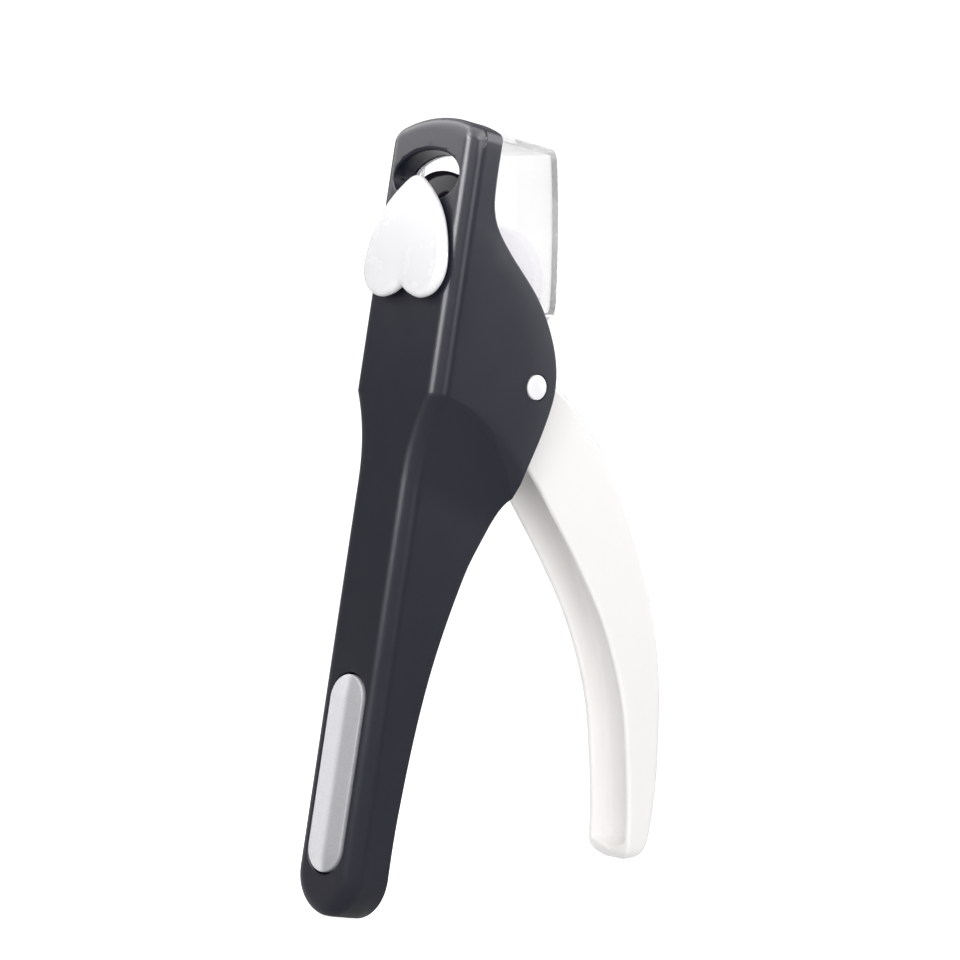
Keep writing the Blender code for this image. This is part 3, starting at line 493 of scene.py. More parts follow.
def gritty(name, colour, shade):
    """Bonded grit of random tone, with painted shade: the half beyond the middle is coloured darker,
    standing in for the file ridge's shaded right facet.
    """
    made, tree, shader = new_material(name, Specular_IOR_Level=0.6)
    place = coordinates(tree)
    cells = node(tree, "ShaderNodeTexVoronoi", Scale=1 / (0.2 * MM))
    tree.links.new(place, cells.inputs["Vector"])
    tone = spread(tree, noise(tree, place, 0.4, detail=4.0), 0.0, 1.0)
    fine = mix_colour(tree, tone, colour, shade)
    # painted shade: darker grit colours for the right half, where the ridge's facet turns away from the
    # light
    painted_shade_side = mix_colour(tree, tone, srgb(164, 164, 168), srgb(155, 155, 159))
    across = node(tree, "ShaderNodeSeparateXYZ")
    tree.links.new(place, across.inputs[0])
    # mask of the painted shade: 0 left of the middle, rising to 1 over the right half
    shaded_half_mask = node(tree, "ShaderNodeMapRange", interpolation_type="SMOOTHSTEP")
    shaded_half_mask.inputs["From Min"].default_value = -0.6 * MM
    shaded_half_mask.inputs["From Max"].default_value = 1.4 * MM
    tree.links.new(across.outputs["X"], shaded_half_mask.inputs["Value"])
    tree.links.new(mix_colour(tree, shaded_half_mask.outputs["Result"], fine, painted_shade_side),
                   shader.inputs["Base Color"])
    tree.links.new(spread(tree, noise(tree, place, 0.6), 0.42, 0.7), shader.inputs["Roughness"])
    tree.links.new(bump(tree, cells.outputs["Distance"], 0.03, 0.4), shader.inputs["Normal"])
    return made


UNBENT = 0.2


def clear(name):
    """Clear moulded plastic that casts no shadow. Part of the light passes a face unbent."""
    made, tree, shader = new_material(name, Transmission_Weight=1.0, IOR=1.45)
    place = coordinates(tree)
    tint = mix_colour(tree, spread(tree, noise(tree, place, 18.0), 0.0, 1.0),
                      (0.985, 0.985, 0.99, 1), (1, 1, 1, 1))
    tree.links.new(tint, shader.inputs["Base Color"])
    tree.links.new(spread(tree, noise(tree, place, 5.0), 0.0, 0.02), shader.inputs["Roughness"])
    tree.links.new(bump(tree, noise(tree, place, 7.0, detail=1.0), 0.004, 0.3),
                   shader.inputs["Normal"])
    path = node(tree, "ShaderNodeLightPath")
    through = node(tree, "ShaderNodeBsdfTransparent")
    soft = node(tree, "ShaderNodeMixShader")
    soft.inputs["Fac"].default_value = UNBENT
    chosen = node(tree, "ShaderNodeMixShader")
    output = tree.nodes["Material Output"]
    tree.links.new(shader.outputs[0], soft.inputs[1])
    tree.links.new(through.outputs[0], soft.inputs[2])
    tree.links.new(path.outputs["Is Shadow Ray"], chosen.inputs[0])
    tree.links.new(soft.outputs[0], chosen.inputs[1])
    tree.links.new(through.outputs[0], chosen.inputs[2])
    tree.links.new(chosen.outputs[0], output.inputs["Surface"])
    return made


CHARCOAL = moulded("charcoal_abs", srgb(26, 27, 39), srgb(26.8, 27.8, 39.6), (0.28, 0.3), 0.22, 0.01,
                   wave=0.008, Specular_IOR_Level=0.32)
WHITE = moulded("white_abs", srgb(246, 244, 243), srgb(245.7, 243.7, 242.7), (0.28, 0.31), 0.3, 0.006,
                wave=0.003)
HEART_WHITE = moulded("heart_white_abs", srgb(242, 241, 243), srgb(241.7, 240.7, 242.7), (0.26, 0.28),
                      0.3, 0.004, wave=0.003)
# painted shade: a darkened copy of the white plastic, standing in for the dimmer light on the frame
# inside the clear cover
FRAME_WHITE_PAINTED_SHADE = moulded("frame_white_abs_painted_shade", srgb(203, 201, 205), srgb(202, 200, 204), (0.3, 0.36),
                      0.3, 0.006, wave=0.003)
BLACK = moulded("black_gloss", srgb(27, 23, 29), srgb(31, 27, 33), (0.1, 0.16), 0.4, 0.003,
                Specular_IOR_Level=0.14)
ACETAL = moulded("grey_acetal", srgb(188, 188, 190), srgb(180, 180, 183), (0.38, 0.46), 0.3, 0.01)
STEEL = brushed("stainless_steel", srgb(205, 205, 207), srgb(186, 186, 190), (0.2, 0.34),
                (0.08, 1.0, 1.0))
SPRING = brushed("spring_steel", srgb(150, 150, 154), srgb(120, 120, 126), (0.25, 0.4),
                 (1.0, 1.0, 1.0))
GRIT = gritty("file_grit", srgb(228, 228, 231), srgb(217, 217, 221))
CLEAR = clear("clear_plastic")


# ---------------------------------------------------------------- casing

SHOULDER_X = HEAD_HALF - SHOULDER_ROUND
SHOULDER_Z = ARCH_CENTRE + math.sqrt((ARCH_RADIUS - SHOULDER_ROUND) ** 2 - SHOULDER_X**2)
SHOULDER_END = (ARCH_CENTRE + (SHOULDER_Z - ARCH_CENTRE)
                * ARCH_RADIUS / (ARCH_RADIUS - SHOULDER_ROUND))


def depth(z):
    """The casing's depth from its front face at a height."""
    return along(REAR_EDGE, z) + REAR_PROUD


def crease(y):
    """Height of the cheek's lower edge at a depth."""
    return along(CREASE, y)


def foot(y):
    """Height at which the cheek has run out into the handle, at a depth."""
    return blend(*NECK_FOOT, clamp(y / CREASE_REACH))


def half_width(y, z):
    """Half the casing's width: cheeks above the crease, handle below, softer towards the rear."""
    rise = clamp((z - foot(y)) / (crease(y) - foot(y)))
    half = HANDLE_HALF + (HEAD_HALF - HANDLE_HALF) * rise**NECK_POWER
    near_rear = clamp(1 - (depth(z) - y) / CHEEK_SOFT)
    on_cheek = smooth((z - CHEEK_SPAN[0]) / CHEEK_SOFT) * smooth((CHEEK_SPAN[1] - z) / CHEEK_SOFT)
    return half - CHEEK_PULL * on_cheek * near_rear**2


def outline_half(z):
    """Half the width of the front outline's round ends."""
    if z < END_CENTRE:
        return math.sqrt(max(END_RADIUS**2 - (END_CENTRE - z) ** 2, 0))
    if z > SHOULDER_END:
        return math.sqrt(ARCH_RADIUS**2 - (z - ARCH_CENTRE) ** 2)
    if z > SHOULDER_Z:
        return SHOULDER_X + math.sqrt(SHOULDER_ROUND**2 - (z - SHOULDER_Z) ** 2)
    return HEAD_HALF


def side_distance(x, z, side):
    """Distance of a front-view point from the sides and the round lower end."""
    if z < END_CENTRE:
        return END_RADIUS - math.hypot(x, END_CENTRE - z)
    return side - x


def front_y(x, z, side):
    """The front face's depth: broad rolls at the sides and end, a tighter one along the top."""
    across = clamp(1 - side_distance(x, z, side) / SIDE_ROUND)
    over = clamp(1 - (ARCH_RADIUS - math.hypot(x, max(z - ARCH_CENTRE, 0))) / TOP_ROUND)
    return SIDE_ROUND * (1 - math.sqrt(1 - min(across**2 + over**2, 1)))


def solve_height(level, share):
    """Height at which a column at a share of the depth meets a level given by depth."""
    low, high = 60.0, 110.0
    for _ in range(40):
        middle = (low + high) / 2
        y = blend(SIDE_ROUND, depth(middle), share)
        if middle < level(y):
            low = middle
        else:
            high = middle
    return (low + high) / 2


def row_heights(low_turn, neck_foot, neck_crease):
    """Heights of a column's points; every column has the same number."""
    bottom = [END_CENTRE - END_RADIUS * math.cos(math.radians(a)) for a in low_turn]
    rows = [max(z, 0.0) for z in bottom]
    for start, end, count in ((END_CENTRE, neck_foot, 30), (neck_foot, neck_crease, 26),
                              (neck_crease, NECK_TOP, 7), (NECK_TOP, SHOULDER_Z, 30)):
        rows += [blend(start, end, (k + 1) / count) for k in range(count)]
    turn = math.degrees(math.asin((SHOULDER_END - SHOULDER_Z) / SHOULDER_ROUND))
    rows += [SHOULDER_Z + SHOULDER_ROUND * math.sin(math.radians(turn * k / 10))
             for k in range(1, 11)]
    start = math.degrees(math.acos((SHOULDER_END - ARCH_CENTRE) / ARCH_RADIUS))
    end = math.degrees(math.acos((LENGTH - ARCH_CENTRE) / ARCH_RADIUS))
    rows += [ARCH_CENTRE + ARCH_RADIUS * math.cos(math.radians(blend(start, end, k / 24)))
             for k in range(1, 25)]
    return rows


def casing_columns():
    """Half the casing's columns of points, from the middle of the front to that of the rear."""
    first = math.degrees(math.acos(END_CENTRE / END_RADIUS))
    turns = [blend(first, 90, k / 22) for k in range(23)]
    front_rows = row_heights(turns, foot(0), crease(0))
    columns = []
    for share in [k / 7 for k in range(7)]:
        columns.append([front_point(share, None, z) for z in front_rows])
    for angle in [9 * k for k in range(11)]:
        columns.append([front_point(None, angle, z) for z in front_rows])
    for share in [k / 22 for k in range(1, 23)]:
        rows = row_heights(turns, solve_height(foot, share), solve_height(crease, share))
        columns.append([side_point(share, z) for z in rows])
    for angle in (72, 54, 36, 18, 0):
        columns.append([rear_point(None, angle, z) for z in rows])
    for share in (0.66, 0.33, 0.0):
        columns.append([rear_point(share, None, z) for z in rows])
    return columns


def front_point(share, angle, z):
    turn = math.radians(90 if angle is None else angle)
    side = half_width(SIDE_ROUND * (1 - math.cos(turn)), z)
    edge = min(side, outline_half(z))
    corner = min(SIDE_ROUND, 0.7 * edge)
    if angle is None:
        x = share * (edge - corner)
    else:
        x = edge - corner * (1 - math.sin(turn))
    return (x, front_y(x, z, side), z)


def side_point(share, z):
    outline = outline_half(z)
    start = front_y(min(half_width(SIDE_ROUND, z), outline), z, half_width(SIDE_ROUND, z))
    y = blend(start, depth(z) - REAR_ROUND, share)
    return (min(half_width(y, z), outline), y, z)


def rear_point(share, angle, z):
    rear = depth(z)
    side = half_width(rear - REAR_ROUND, z)
    edge = min(side, outline_half(z))
    corner = min(REAR_ROUND, 0.5 * edge)
    if angle is None:
        x = share * (edge - corner)
    else:
        x = edge - corner * (1 - math.sin(math.radians(angle)))
    outside = min(side_distance(x, z, side), ARCH_RADIUS - math.hypot(x, max(z - ARCH_CENTRE, 0)))
    inside = REAR_ROUND - clamp(outside, 0, REAR_ROUND)
    return (x, rear - REAR_ROUND + math.sqrt(REAR_ROUND**2 - inside**2), z)


def from_columns(name, columns):
    """A closed skin from half the columns and their mirror image."""
    left = [[(-x, y, z) for x, y, z in column] for column in reversed(columns[1:-1])]
    rings = list(zip(*(columns + left)))
    return skin(name, rings)


def hollow_shape():
    """The casing's hollow, flared at the open rear so that its rim is rounded."""
    inner_end = HANDLE_HALF - SIDE_WALL
    bottom = [END_CENTRE - inner_end * math.cos(math.radians(a)) for a in range(6, 90, 6)]
    heights = bottom + [blend(END_CENTRE, CAVITY_TOP, k / 90) for k in range(91)]
    rings = []
    for z in heights:
        limit = HEAD_HALF
        if z < END_CENTRE:
            limit = math.sqrt(max(inner_end**2 - (END_CENTRE - z) ** 2, 0.04))
        rear = depth(z)
        half = []
        for k in range(9):
            y = blend(FRONT_WALL, rear - RIM_ROUND, k / 8)
            half.append((min(half_width(y, z) - SIDE_WALL, limit), y, z))
        wall = half[-1][0]
        for angle in (22, 45, 67, 90):
            turn = math.radians(angle)
            half.append((wall + RIM_ROUND * (1 - math.cos(turn)),
                         rear - RIM_ROUND * (1 - math.sin(turn)), z))
        half.append((wall + RIM_ROUND, rear + 1.5, z))
        rings.append(half + [(-x, y, z) for x, y, z in reversed(half)])
    return skin("hollow", rings)


def mouth(dish, turns, sunk, floor):
    """Stations (flare, y) of a cut with a rounded edge, from outside the face to its floor."""
    rounded = []
    for turn in turns:
        angle = math.radians(turn)
        rounded.append((dish * (1 - math.sin(angle)), dish * (1 - math.cos(angle)) - sunk))
    return [(dish, MOUTH_START)] + rounded + [(0.0, floor)]


def nail_hole_shape():
    """The nail hole, dished towards the head's top and crisper at its ends."""
    steps = 96
    turns = (0, 10, 20, 30, 42, 54, 66, 78, 90)
    spokes = []
    for k in range(steps):
        angle = 2 * math.pi * k / steps
        dish = HOLE_SHARP + HOLE_DISH * max(math.sin(angle), 0) ** 1.4
        spokes.append([((HOLE_HALF[0] + flare) * math.cos(angle), y,
                        HOLE_Z + (HOLE_HALF[1] + flare) * math.sin(angle))
                       for flare, y in mouth(dish, turns, 0.02, PLATE[0].y + 1.2)])
    return skin("nail_hole", list(zip(*spokes)))


def file_pocket_shape(half, straight, centre, floor):
    """The file's pocket, with a small rounded edge."""
    rings = [[(x, y, z) for x, z in stadium(half + flare, straight, centre)]
             for flare, y in mouth(POCKET_FLARE, (0, 30, 60, 90), 0.01, floor)]
    return skin("file_pocket", rings)


def seat_shape(side):
    """The recess round a pin cap, with a small rounded lip."""
    lip = 0.12
    face = HEAD_HALF
    profile = [(CAP[0].x - 0.15, SEAT_RADIUS), (face - lip, SEAT_RADIUS),
               (face - 0.04, SEAT_RADIUS + lip * 0.4), (face + 0.02, SEAT_RADIUS + lip),
               (face + 0.8, SEAT_RADIUS + lip)]
    return turned("seat", [(side * at, radius) for at, radius in profile], "X", PIVOT)


def pivot_bore(start, end):
    return turned("bore", [(start, PIVOT_BORE), (end, PIVOT_BORE)], "X", PIVOT)


def make_casing():
    """The casing: a skin from its columns, hollowed and opened for the mechanism."""
    file_centre = (FILE[0].z + FILE[1].z) / 2
    file_half = FILE[1].x
    file_straight = (FILE[1].z - FILE[0].z) / 2 - file_half
    relief = HEAD_HALF - SIDE_WALL - 0.02
    steps = [cut(hollow_shape()),
             cut(slab("pocket", arched(11.2, ARCH_RADIUS - 3.0, 111.0), "Y", PLATE[0].y - 0.3, 7.6)),
             cut(box("relief", (-relief, 7.1, CAVITY_TOP - 1), (relief, 12.0, CAVITY_TOP + 6))),
             cut(box("tongue", (-9.75, FRONT_WALL, 130.6), (9.75, 5.4, HOLE_Z))),
             cut(nail_hole_shape()),
             cut(box("stem", (-2.0, -0.5, 119.2), (2.0, 2.6, 130.8))),
             cut(file_pocket_shape(file_half + POCKET_GAP, file_straight, file_centre,
                                   FRONT_WALL - 0.25))]
    for side in (-1, 1):
        steps.append(cut(seat_shape(side)))
        steps.append(cut(pivot_bore(side * 9, side * 12)))
    mesh = modified(from_columns("casing", casing_columns()), *steps)
    piece("casing", mesh, "body", CHARCOAL, ["front_shell"])


def make_handle_cover():
    """The cover over the handle's rear, slightly crowned, with countersunk screw holes."""
    high = node_box("handle_back")[1]
    half, sunk, crown = high.x, 0.6, 0.45
    rings = []
    heights = [END_CENTRE - half * math.cos(math.radians(a)) for a in range(8, 90, 6)]
    heights += [blend(END_CENTRE, high.z, k / 40) for k in range(41)]
    for z in heights:
        wide = math.sqrt(half**2 - max(END_CENTRE - z, 0) ** 2)
        rear = depth(z) - sunk
        ring = [(-wide, rear - 1.6, z), (wide, rear - 1.6, z)]
        for angle in (0, 30, 60, 90):
            turn = math.radians(angle)
            ring.append((wide - crown * (1 - math.cos(turn)), rear - crown * (1 - math.sin(turn)), z))
        ring += [(-x, y, z) for x, y, z in reversed(ring[2:])]
        rings.append(ring)
    steps = []
    for screw in ("handle_screw_upper", "handle_screw_lower"):
        at = node_centre(screw)
        rear = depth(at.z) - sunk
        steps.append(cut(turned("sink", [(rear - 0.9, 2.4), (rear - 0.25, 2.4), (rear + 0.02, 2.65),
                                         (rear + 2, 2.65)], "Y", (at.x, at.z))))
        steps.append(cut(turned("hole", [(rear - 3, 1.3), (rear + 1, 1.3)], "Y", (at.x, at.z))))
    mesh = modified(skin("handle_cover", rings), *steps)
    piece("handle_cover", mesh, "body", CHARCOAL, ["handle_back"])


def make_file():
    """The file: concentric rings that climb from a thin rim to a soft lengthwise ridge."""
    centre = (FILE[0].z + FILE[1].z) / 2
    half = FILE[1].x
    straight = (FILE[1].z - FILE[0].z) / 2 - half
    rim_y, shoulder_y, ridge_y = -0.15, -0.4, FILE[0].y
    stations = [(half, FILE[1].y), (half, rim_y), (half - 0.06, rim_y - 0.13),
                (half - 0.2, rim_y - 0.22), (half - 0.35, shoulder_y)]
    field = half - 0.35
    blunt = 0.22
    for k in range(1, 26):
        out = field * (1 - k / 25)
        soft = (math.hypot(out, blunt) - blunt) / (math.hypot(field, blunt) - blunt)
        stations.append((max(out, 0.02), blend(ridge_y, shoulder_y, soft)))
    rings = [[(x, y, z) for x, z in stadium(out, straight, centre)] for out, y in stations]
    piece("file_pad", skin("file_pad", rings), "body", GRIT, ["nail_file"], sharp=50)


# ---------------------------------------------------------------- lever

def lever_profile(width, deep, web, open_share):
    """Half a section of the channel: x across, t from the back face to the open front."""
    outer = min(OUTER_ROUND, 0.45 * deep, 0.45 * width)
    lip = min(LIP_ROUND, 0.3 * deep)
    inner_half = max(min(width - LEVER_WALL, width * 0.75), 0.1) * open_share
    lip_in = lip * open_share
    floor = deep - (deep - min(web, 0.6 * deep)) * open_share
    fillet = min(GROOVE_FILLET, 0.4 * (deep - floor)) * open_share
    half = [(0.0, 0.0), (0.5 * (width - outer), 0.0)]
    half += arc((width - outer, outer), outer, -90, 0, 6)
    half += [(width, blend(outer, deep - lip, k / 4)) for k in (1, 2, 3)]
    half += arc((width - lip, deep - lip), lip, 0, 90, 5)
    half += arc((inner_half + lip_in, deep - lip_in), lip_in, 90, 180, 5)
    half += [(inner_half, blend(deep - lip_in, floor + fillet, k / 4)) for k in (1, 2, 3)]
    half += arc((inner_half - fillet, floor + fillet), fillet, 0, -90, 5)
    half += [(0.4 * (inner_half - fillet), floor), (0.0, floor)]
    return half


def lever_rings():
    """The grip's sections, from inside the hub to the closed end of its round tip."""
    shares = [blend(LEVER_START, 1.0, k / 72) for k in range(73)]
    backs = evenly(smooth_path(LEVER_BACK, 16), shares)
    fronts = evenly(smooth_path(LEVER_FRONT, 16), shares)
    tip_shares = [math.sin(math.radians(90 * k / 22)) for k in range(1, 23)]
    backs += evenly(smooth_path(TIP_BACK, 16), tip_shares)
    fronts += evenly(smooth_path(TIP_FRONT, 16), tip_shares)
    apex = Vector(TIP_APEX)
    rings = []
    for index, (back, front) in enumerate(zip(backs, fronts)):
        run = front - back
        web = blend(LEVER_WEB, run.length - GROOVE_DEPTH, smooth((index - 11) / 9))
        reach = ((back + front) / 2 - apex).length
        full = blend(HUB_HALF, GRIP_HALF, smooth((index - 3) / 10))
        width = full * (1 - (1 - clamp(reach / 3.8)) ** 2.6) ** 0.42
        width = max(width, 0.6)
        half = lever_profile(width, run.length, web, max(smooth((reach - 1.4) / 2.8), 0.02))
        loop = half + [(-x, t) for x, t in reversed(half[1:-1])]
        toward = run.normalized()
        rings.append([(x, back.x + toward.x * t, back.y + toward.y * t) for x, t in loop])
    return rings


def arm_outline():
    """Side view of an arm: round the drive pin, round the hub and into the grip."""
    turn = math.degrees(DRIVE_TURN) % 360
    side = math.degrees(math.asin(ARM_HALF / HUB_RADIUS))
    outline = arc(DRIVE, ARM_HALF, turn + 90, turn - 90, 20)
    outline += arc(PIVOT, HUB_RADIUS, turn - side, 96, 20)
    outline += [(26.5, 108.0), (25.2, 98.0)]
    outline += arc(PIVOT, HUB_RADIUS, 252, turn + side, 8)
    return outline


def slot_outline():
    """The drive pin's slot, along the line from the pivot to the pin."""
    along_arm, across_arm = math.cos(DRIVE_TURN), math.sin(DRIVE_TURN)
    ends = arc((-0.1, 0), SLOT_RADIUS, 270, 90, 14) + arc((0.95, 0), SLOT_RADIUS, 90, -90, 14)
    return [(DRIVE[0] + u * along_arm - v * across_arm,
             DRIVE[1] + u * across_arm + v * along_arm) for u, v in ends]


def make_lever():
    """The squeeze lever: its grip, the two arms to the drive pin, and their bores."""
    arms = []
    for side in (-1, 1):
        low, high = sorted((side * ARM_INNER, side * (HUB_HALF - 0.05)))
        arms.append(modified(slab("arm", arm_outline(), "X", low, high), 0.3))
    mesh = modified(skin("grip", lever_rings()), union(arms[0]), union(arms[1]),
                    cut(pivot_bore(-7, 7)),
                    cut(slab("slot", slot_outline(), "X", -7, 7)))
    piece("squeeze_lever", mesh, "lever", WHITE, ["lever"])


def make_pin_caps():
    """White caps over the pivot pin, gently domed."""
    radius = (CAP[1].z - CAP[0].z) / 2
    edge, dome = 0.25, 0.18
    inner, outer = CAP[0].x, CAP[1].x
    profile = [(inner, radius - 0.1), (inner + 0.1, radius), (outer - dome - edge, radius)]
    profile += [(outer - dome - edge * (1 - math.sin(math.radians(a))),
                 radius - edge * (1 - math.cos(math.radians(a)))) for a in (30, 60, 90)]
    profile += [(outer - dome * (k / 6 - 1) ** 2, (radius - edge) * (1 - k / 6)) for k in range(1, 6)]
    profile.append((outer, 0.05))
    for side, name in ((-1, "left"), (1, "right")):
        mesh = turned("cap", [(side * at, out) for at, out in profile], "X", PIVOT)
        piece(f"pivot_cap_{name}", mesh, "body", HEART_WHITE, [f"pin_cap_{name}"])


# ---------------------------------------------------------------- slider

def heart_outline():
    """The heart's outline: a smooth right half from tip to notch, and its mirror image."""
    steps = 9
    side = [(2.7, 136.95), (6.85, 133.1), (9.6, 128.4), (HEART_HALF, 122.6), (10.75, 118.9),
            (8.7, 116.2), (5.6, HEART[0].z), (2.5, 115.9)]
    notch = (0.0, HEART_NOTCH)
    path = [(-side[0][0], side[0][1]), (0.0, HEART[1].z)] + side + [notch]
    right = smooth_path(path, steps)[steps:]
    return right[:-1] + [notch] + [(-x, z) for x, z in reversed(right[1:-1])]


def inset_outline(outline, distance):
    """A closed outline moved inwards along its own normals."""
    moved = []
    count = len(outline)
    for k, (x, z) in enumerate(outline):
        before, after = Vector(outline[k - 1]), Vector(outline[(k + 1) % count])
        run = (after - before).normalized()
        moved.append((x + run.y * distance, z - run.x * distance))
    return moved


def make_heart():
    """The heart button: fully rounded edges round a slightly crowned face."""
    outline = heart_outline()
    front, back = HEART[0].y, -0.3
    crown = 0.3
    edge = (back - front - crown) / 2
    rings = []
    for k in range(17):
        turn = math.radians(blend(-75, 90, k / 16))
        inset = edge * (1 - math.cos(turn))
        y = back - edge - edge * math.sin(turn)
        rings.append([(x, y, z) for x, z in inset_outline(outline, inset)])
    rim = rings[-1]
    for k in range(1, 13):
        share = k / 12
        height = crown * (1 - (1 - share) ** 2)
        ring = []
        for x, y, z in rim:
            point = Vector((x, y, z)).lerp(Vector((0.0, y, HEART_MIDDLE)), share * 0.97)
            ring.append((point.x, front + crown - height, point.z))
        rings.append(ring)
    mesh = modified(skin("heart", rings), union(box("stem", (-1.6, -1.2, 124.0), (1.6, 1.95, 129.0))),
                    cut(turned("pilot", [(-1.6, 0.9), (2.4, 0.9)], "Y", (0.0, SLIDER_SCREW_Z),
                               sides=24)))
    piece("heart_slider_button", mesh, "slider", HEART_WHITE, ["heart_button"], sharp=40)


def make_tongue():
    """The glossy tongue: a domed slide that falls away towards its arched top and its sides."""
    front, back = TONGUE[0].y, TONGUE[1].y
    half = TONGUE[1].x
    top = TONGUE[1].z
    edge = 0.35
    bend = 130.0
    rows = [TONGUE_FOOT + (top - TONGUE_FOOT) * math.sin(math.radians(90 * k / 30))
            for k in range(31)]
    rings = []
    for z in rows:
        reach = min(half, math.sqrt(max(TONGUE_ARCH**2 - (z - top + TONGUE_ARCH) ** 2, 0.04)))
        ring = [(-reach, back, z), (reach, back, z)]
        for k in range(41):
            u = math.cos(math.radians(180 * k / 40))
            rise = max(z - bend, 0) / (top - bend)
            fall = min(abs(u * reach / half) ** 2.4 + 0.94 * rise**2.2, 1)
            ring.append((u * reach, front + (back - edge - front) * (1 - math.sqrt(1 - fall)), z))
        rings.append(ring)
    mesh = modified(skin("tongue", rings), union(box("stem", (-3, 2.6, 118.3), (3, back, 129.0))),
                    cut(turned("sink", [(front - 0.3, 0.95), (back + 0.2, 1.9)], "Y",
                               (0.0, SLIDER_SCREW_Z))))
    piece("hole_size_tongue", mesh, "slider", BLACK, ["slider_tongue"], sharp=60)


# ---------------------------------------------------------------- cutting plate, frame, cover

def make_plate():
    """The fixed cutting plate, with a chamfered nail hole, a notch and its screw holes."""
    outline = arched(PLATE[1].x, ARCH_RADIUS - 3.25, PLATE[0].z)
    hole_half = (HOLE_HALF[0] - 0.15, HOLE_HALF[1] - 0.05)
    rings = []
    for y, grow in ((PLATE[0].y - 1, 0.12), (PLATE[0].y - 0.01, 0.12), (PLATE[0].y + 0.12, 0.0),
                    (PLATE[1].y + 1, 0.0)):
        half = [value + grow for value in hole_half]
        rings.append([(x, y, z) for x, z in ellipse((0, HOLE_Z), half, 96)])
    steps = [0.08, cut(skin("hole", rings)),
             cut(box("notch", (-2.0, 4.0, 110.0), (2.0, 7.0, 120.2)))]
    for screw in ("frame_screw_left", "frame_screw_right"):
        at = node_centre(screw)
        steps.append(cut(turned("hole", [(4, 1.25), (7, 1.25)], "Y", (at.x, at.z), sides=32)))
    for screw in ("plate_screw_left", "plate_screw_right"):
        at = node_centre(screw)
        steps.append(cut(turned("sink", [(PLATE[0].y - 0.5, 0.75), (PLATE[1].y + 0.5, 1.75)], "Y",
                                (at.x, at.z), sides=32)))
    mesh = modified(slab("plate", outline, "Y", PLATE[0].y, PLATE[1].y), *steps)
    piece("cutting_plate", mesh, "body", STEEL, ["fixed_blade"])


def make_frame():
    """The white frame with its round rear lobe."""
    half = FRAME[1].x
    front = FRAME[0].y + 1.2
    centre, radius = (15.0, 121.0), 10.4
    rear, top = centre[0] + radius, centre[1] + radius
    bottom = 113.0
    outline = [(7.3, bottom), (20.2, bottom), (20.2, 119.6), (rear, 119.6)]
    outline += arc(centre, radius, 0, 90, 40)
    outline += [(7.3, top - 0.4)]
    wall = 1.6
    room = [(12.8, 110.0), (18.6, 110.0), (18.6, 121.2), (rear - wall, 121.2)]
    room += arc(centre, radius - wall, 2, 90, 24)
    room += [(12.8, top - wall)]
    steps = [0.5, cut(slab("room", room, "X", wall - half, half - wall)),
             cut(box("channel", (-3.3, 6.0, 110.0), (3.3, 11.4, 135.0)))]
    for side in (-1, 1):
        low, high = sorted((side * 6.8, side * half))
        leg = [(13.4, bottom + 1.0)] + arc(PIVOT, 3.8, 200, 385, 32) + [(20.0, bottom + 1.0)]
        steps.append(union(modified(slab("leg", leg, "X", low, high), 0.2)))
        steps.append(cut(pivot_bore(side * 6, side * 9.5)))
        at = (side * 5.2, 116.0)
        steps.append(union(turned("foot", [(front - 1.2, 1.8), (9.0, 1.8)], "Y", at)))
        steps.append(cut(turned("hole", [(5, 1.1), (14, 1.1)], "Y", at, sides=32)))
    mesh = modified(slab("frame", outline, "X", -half, half), *steps)
    # the frame wears the darkened white, painted shade for its place inside the cover
    piece("clippings_frame", mesh, "body", FRAME_WHITE_PAINTED_SHADE, ["inner_frame"])


def make_cover():
    """The clear clippings cover: one thin shell, open to the head, on a hinge barrel."""
    half = COVER[1].x
    wall = 1.15
    top = COVER[1].z
    hinge = (HINGE.y, HINGE.z)
    rear = [(22.9, 147.0), (24.8, 139.0), (26.8, 128.5), (28.1, 119.7), (28.0, 117.4)]
    back = smooth_path(rear, 10)
    corner = arc((rear[0][0] - CORNER_ROUND, top - CORNER_ROUND), CORNER_ROUND, 90, 20, 12)
    front = [(hinge[0] - 1.5, hinge[1] + 0.4), (COVER[0].y, hinge[1] + 3.4), (COVER[0].y, top)]
    hook = [(26.4, 115.6), (24.4, hinge[1] - 0.9)]
    outline = front + corner + back[1:] + hook
    inside = offset_path(corner + back[1:], wall)
    inside = [(3.0, top - wall)] + inside + [(25.2, 117.1), (22.6, 117.3), (20.9, 117.0),
                                            (20.9, 112.0), (3.0, 112.0)]
    steps = [0.35, cut(slab("inside", inside, "X", wall - half, half - wall)),
             union(turned("barrel", [(-half, 1.4), (half, 1.4)], "X", hinge, sides=40)),
             cut(turned("bore", [(-12, 0.87), (12, 0.87)], "X", hinge, sides=32))]
    for k in range(RIB_COUNT):
        z = RIB_FOOT + RIB_PITCH * k
        y = along([(b[1], b[0]) for b in reversed(rear)], z)
        profile = [(-5.3, 0.1), (-5.0, 0.4), (5.0, 0.4), (5.3, 0.1)]
        steps.append(union(turned("rib", profile, "X", (y - 0.1, z), sides=20)))
    mesh = modified(slab("cover", outline, "X", -half, half), *steps)
    piece("clippings_cover", mesh, "cover", CLEAR, ["clear_cover"])


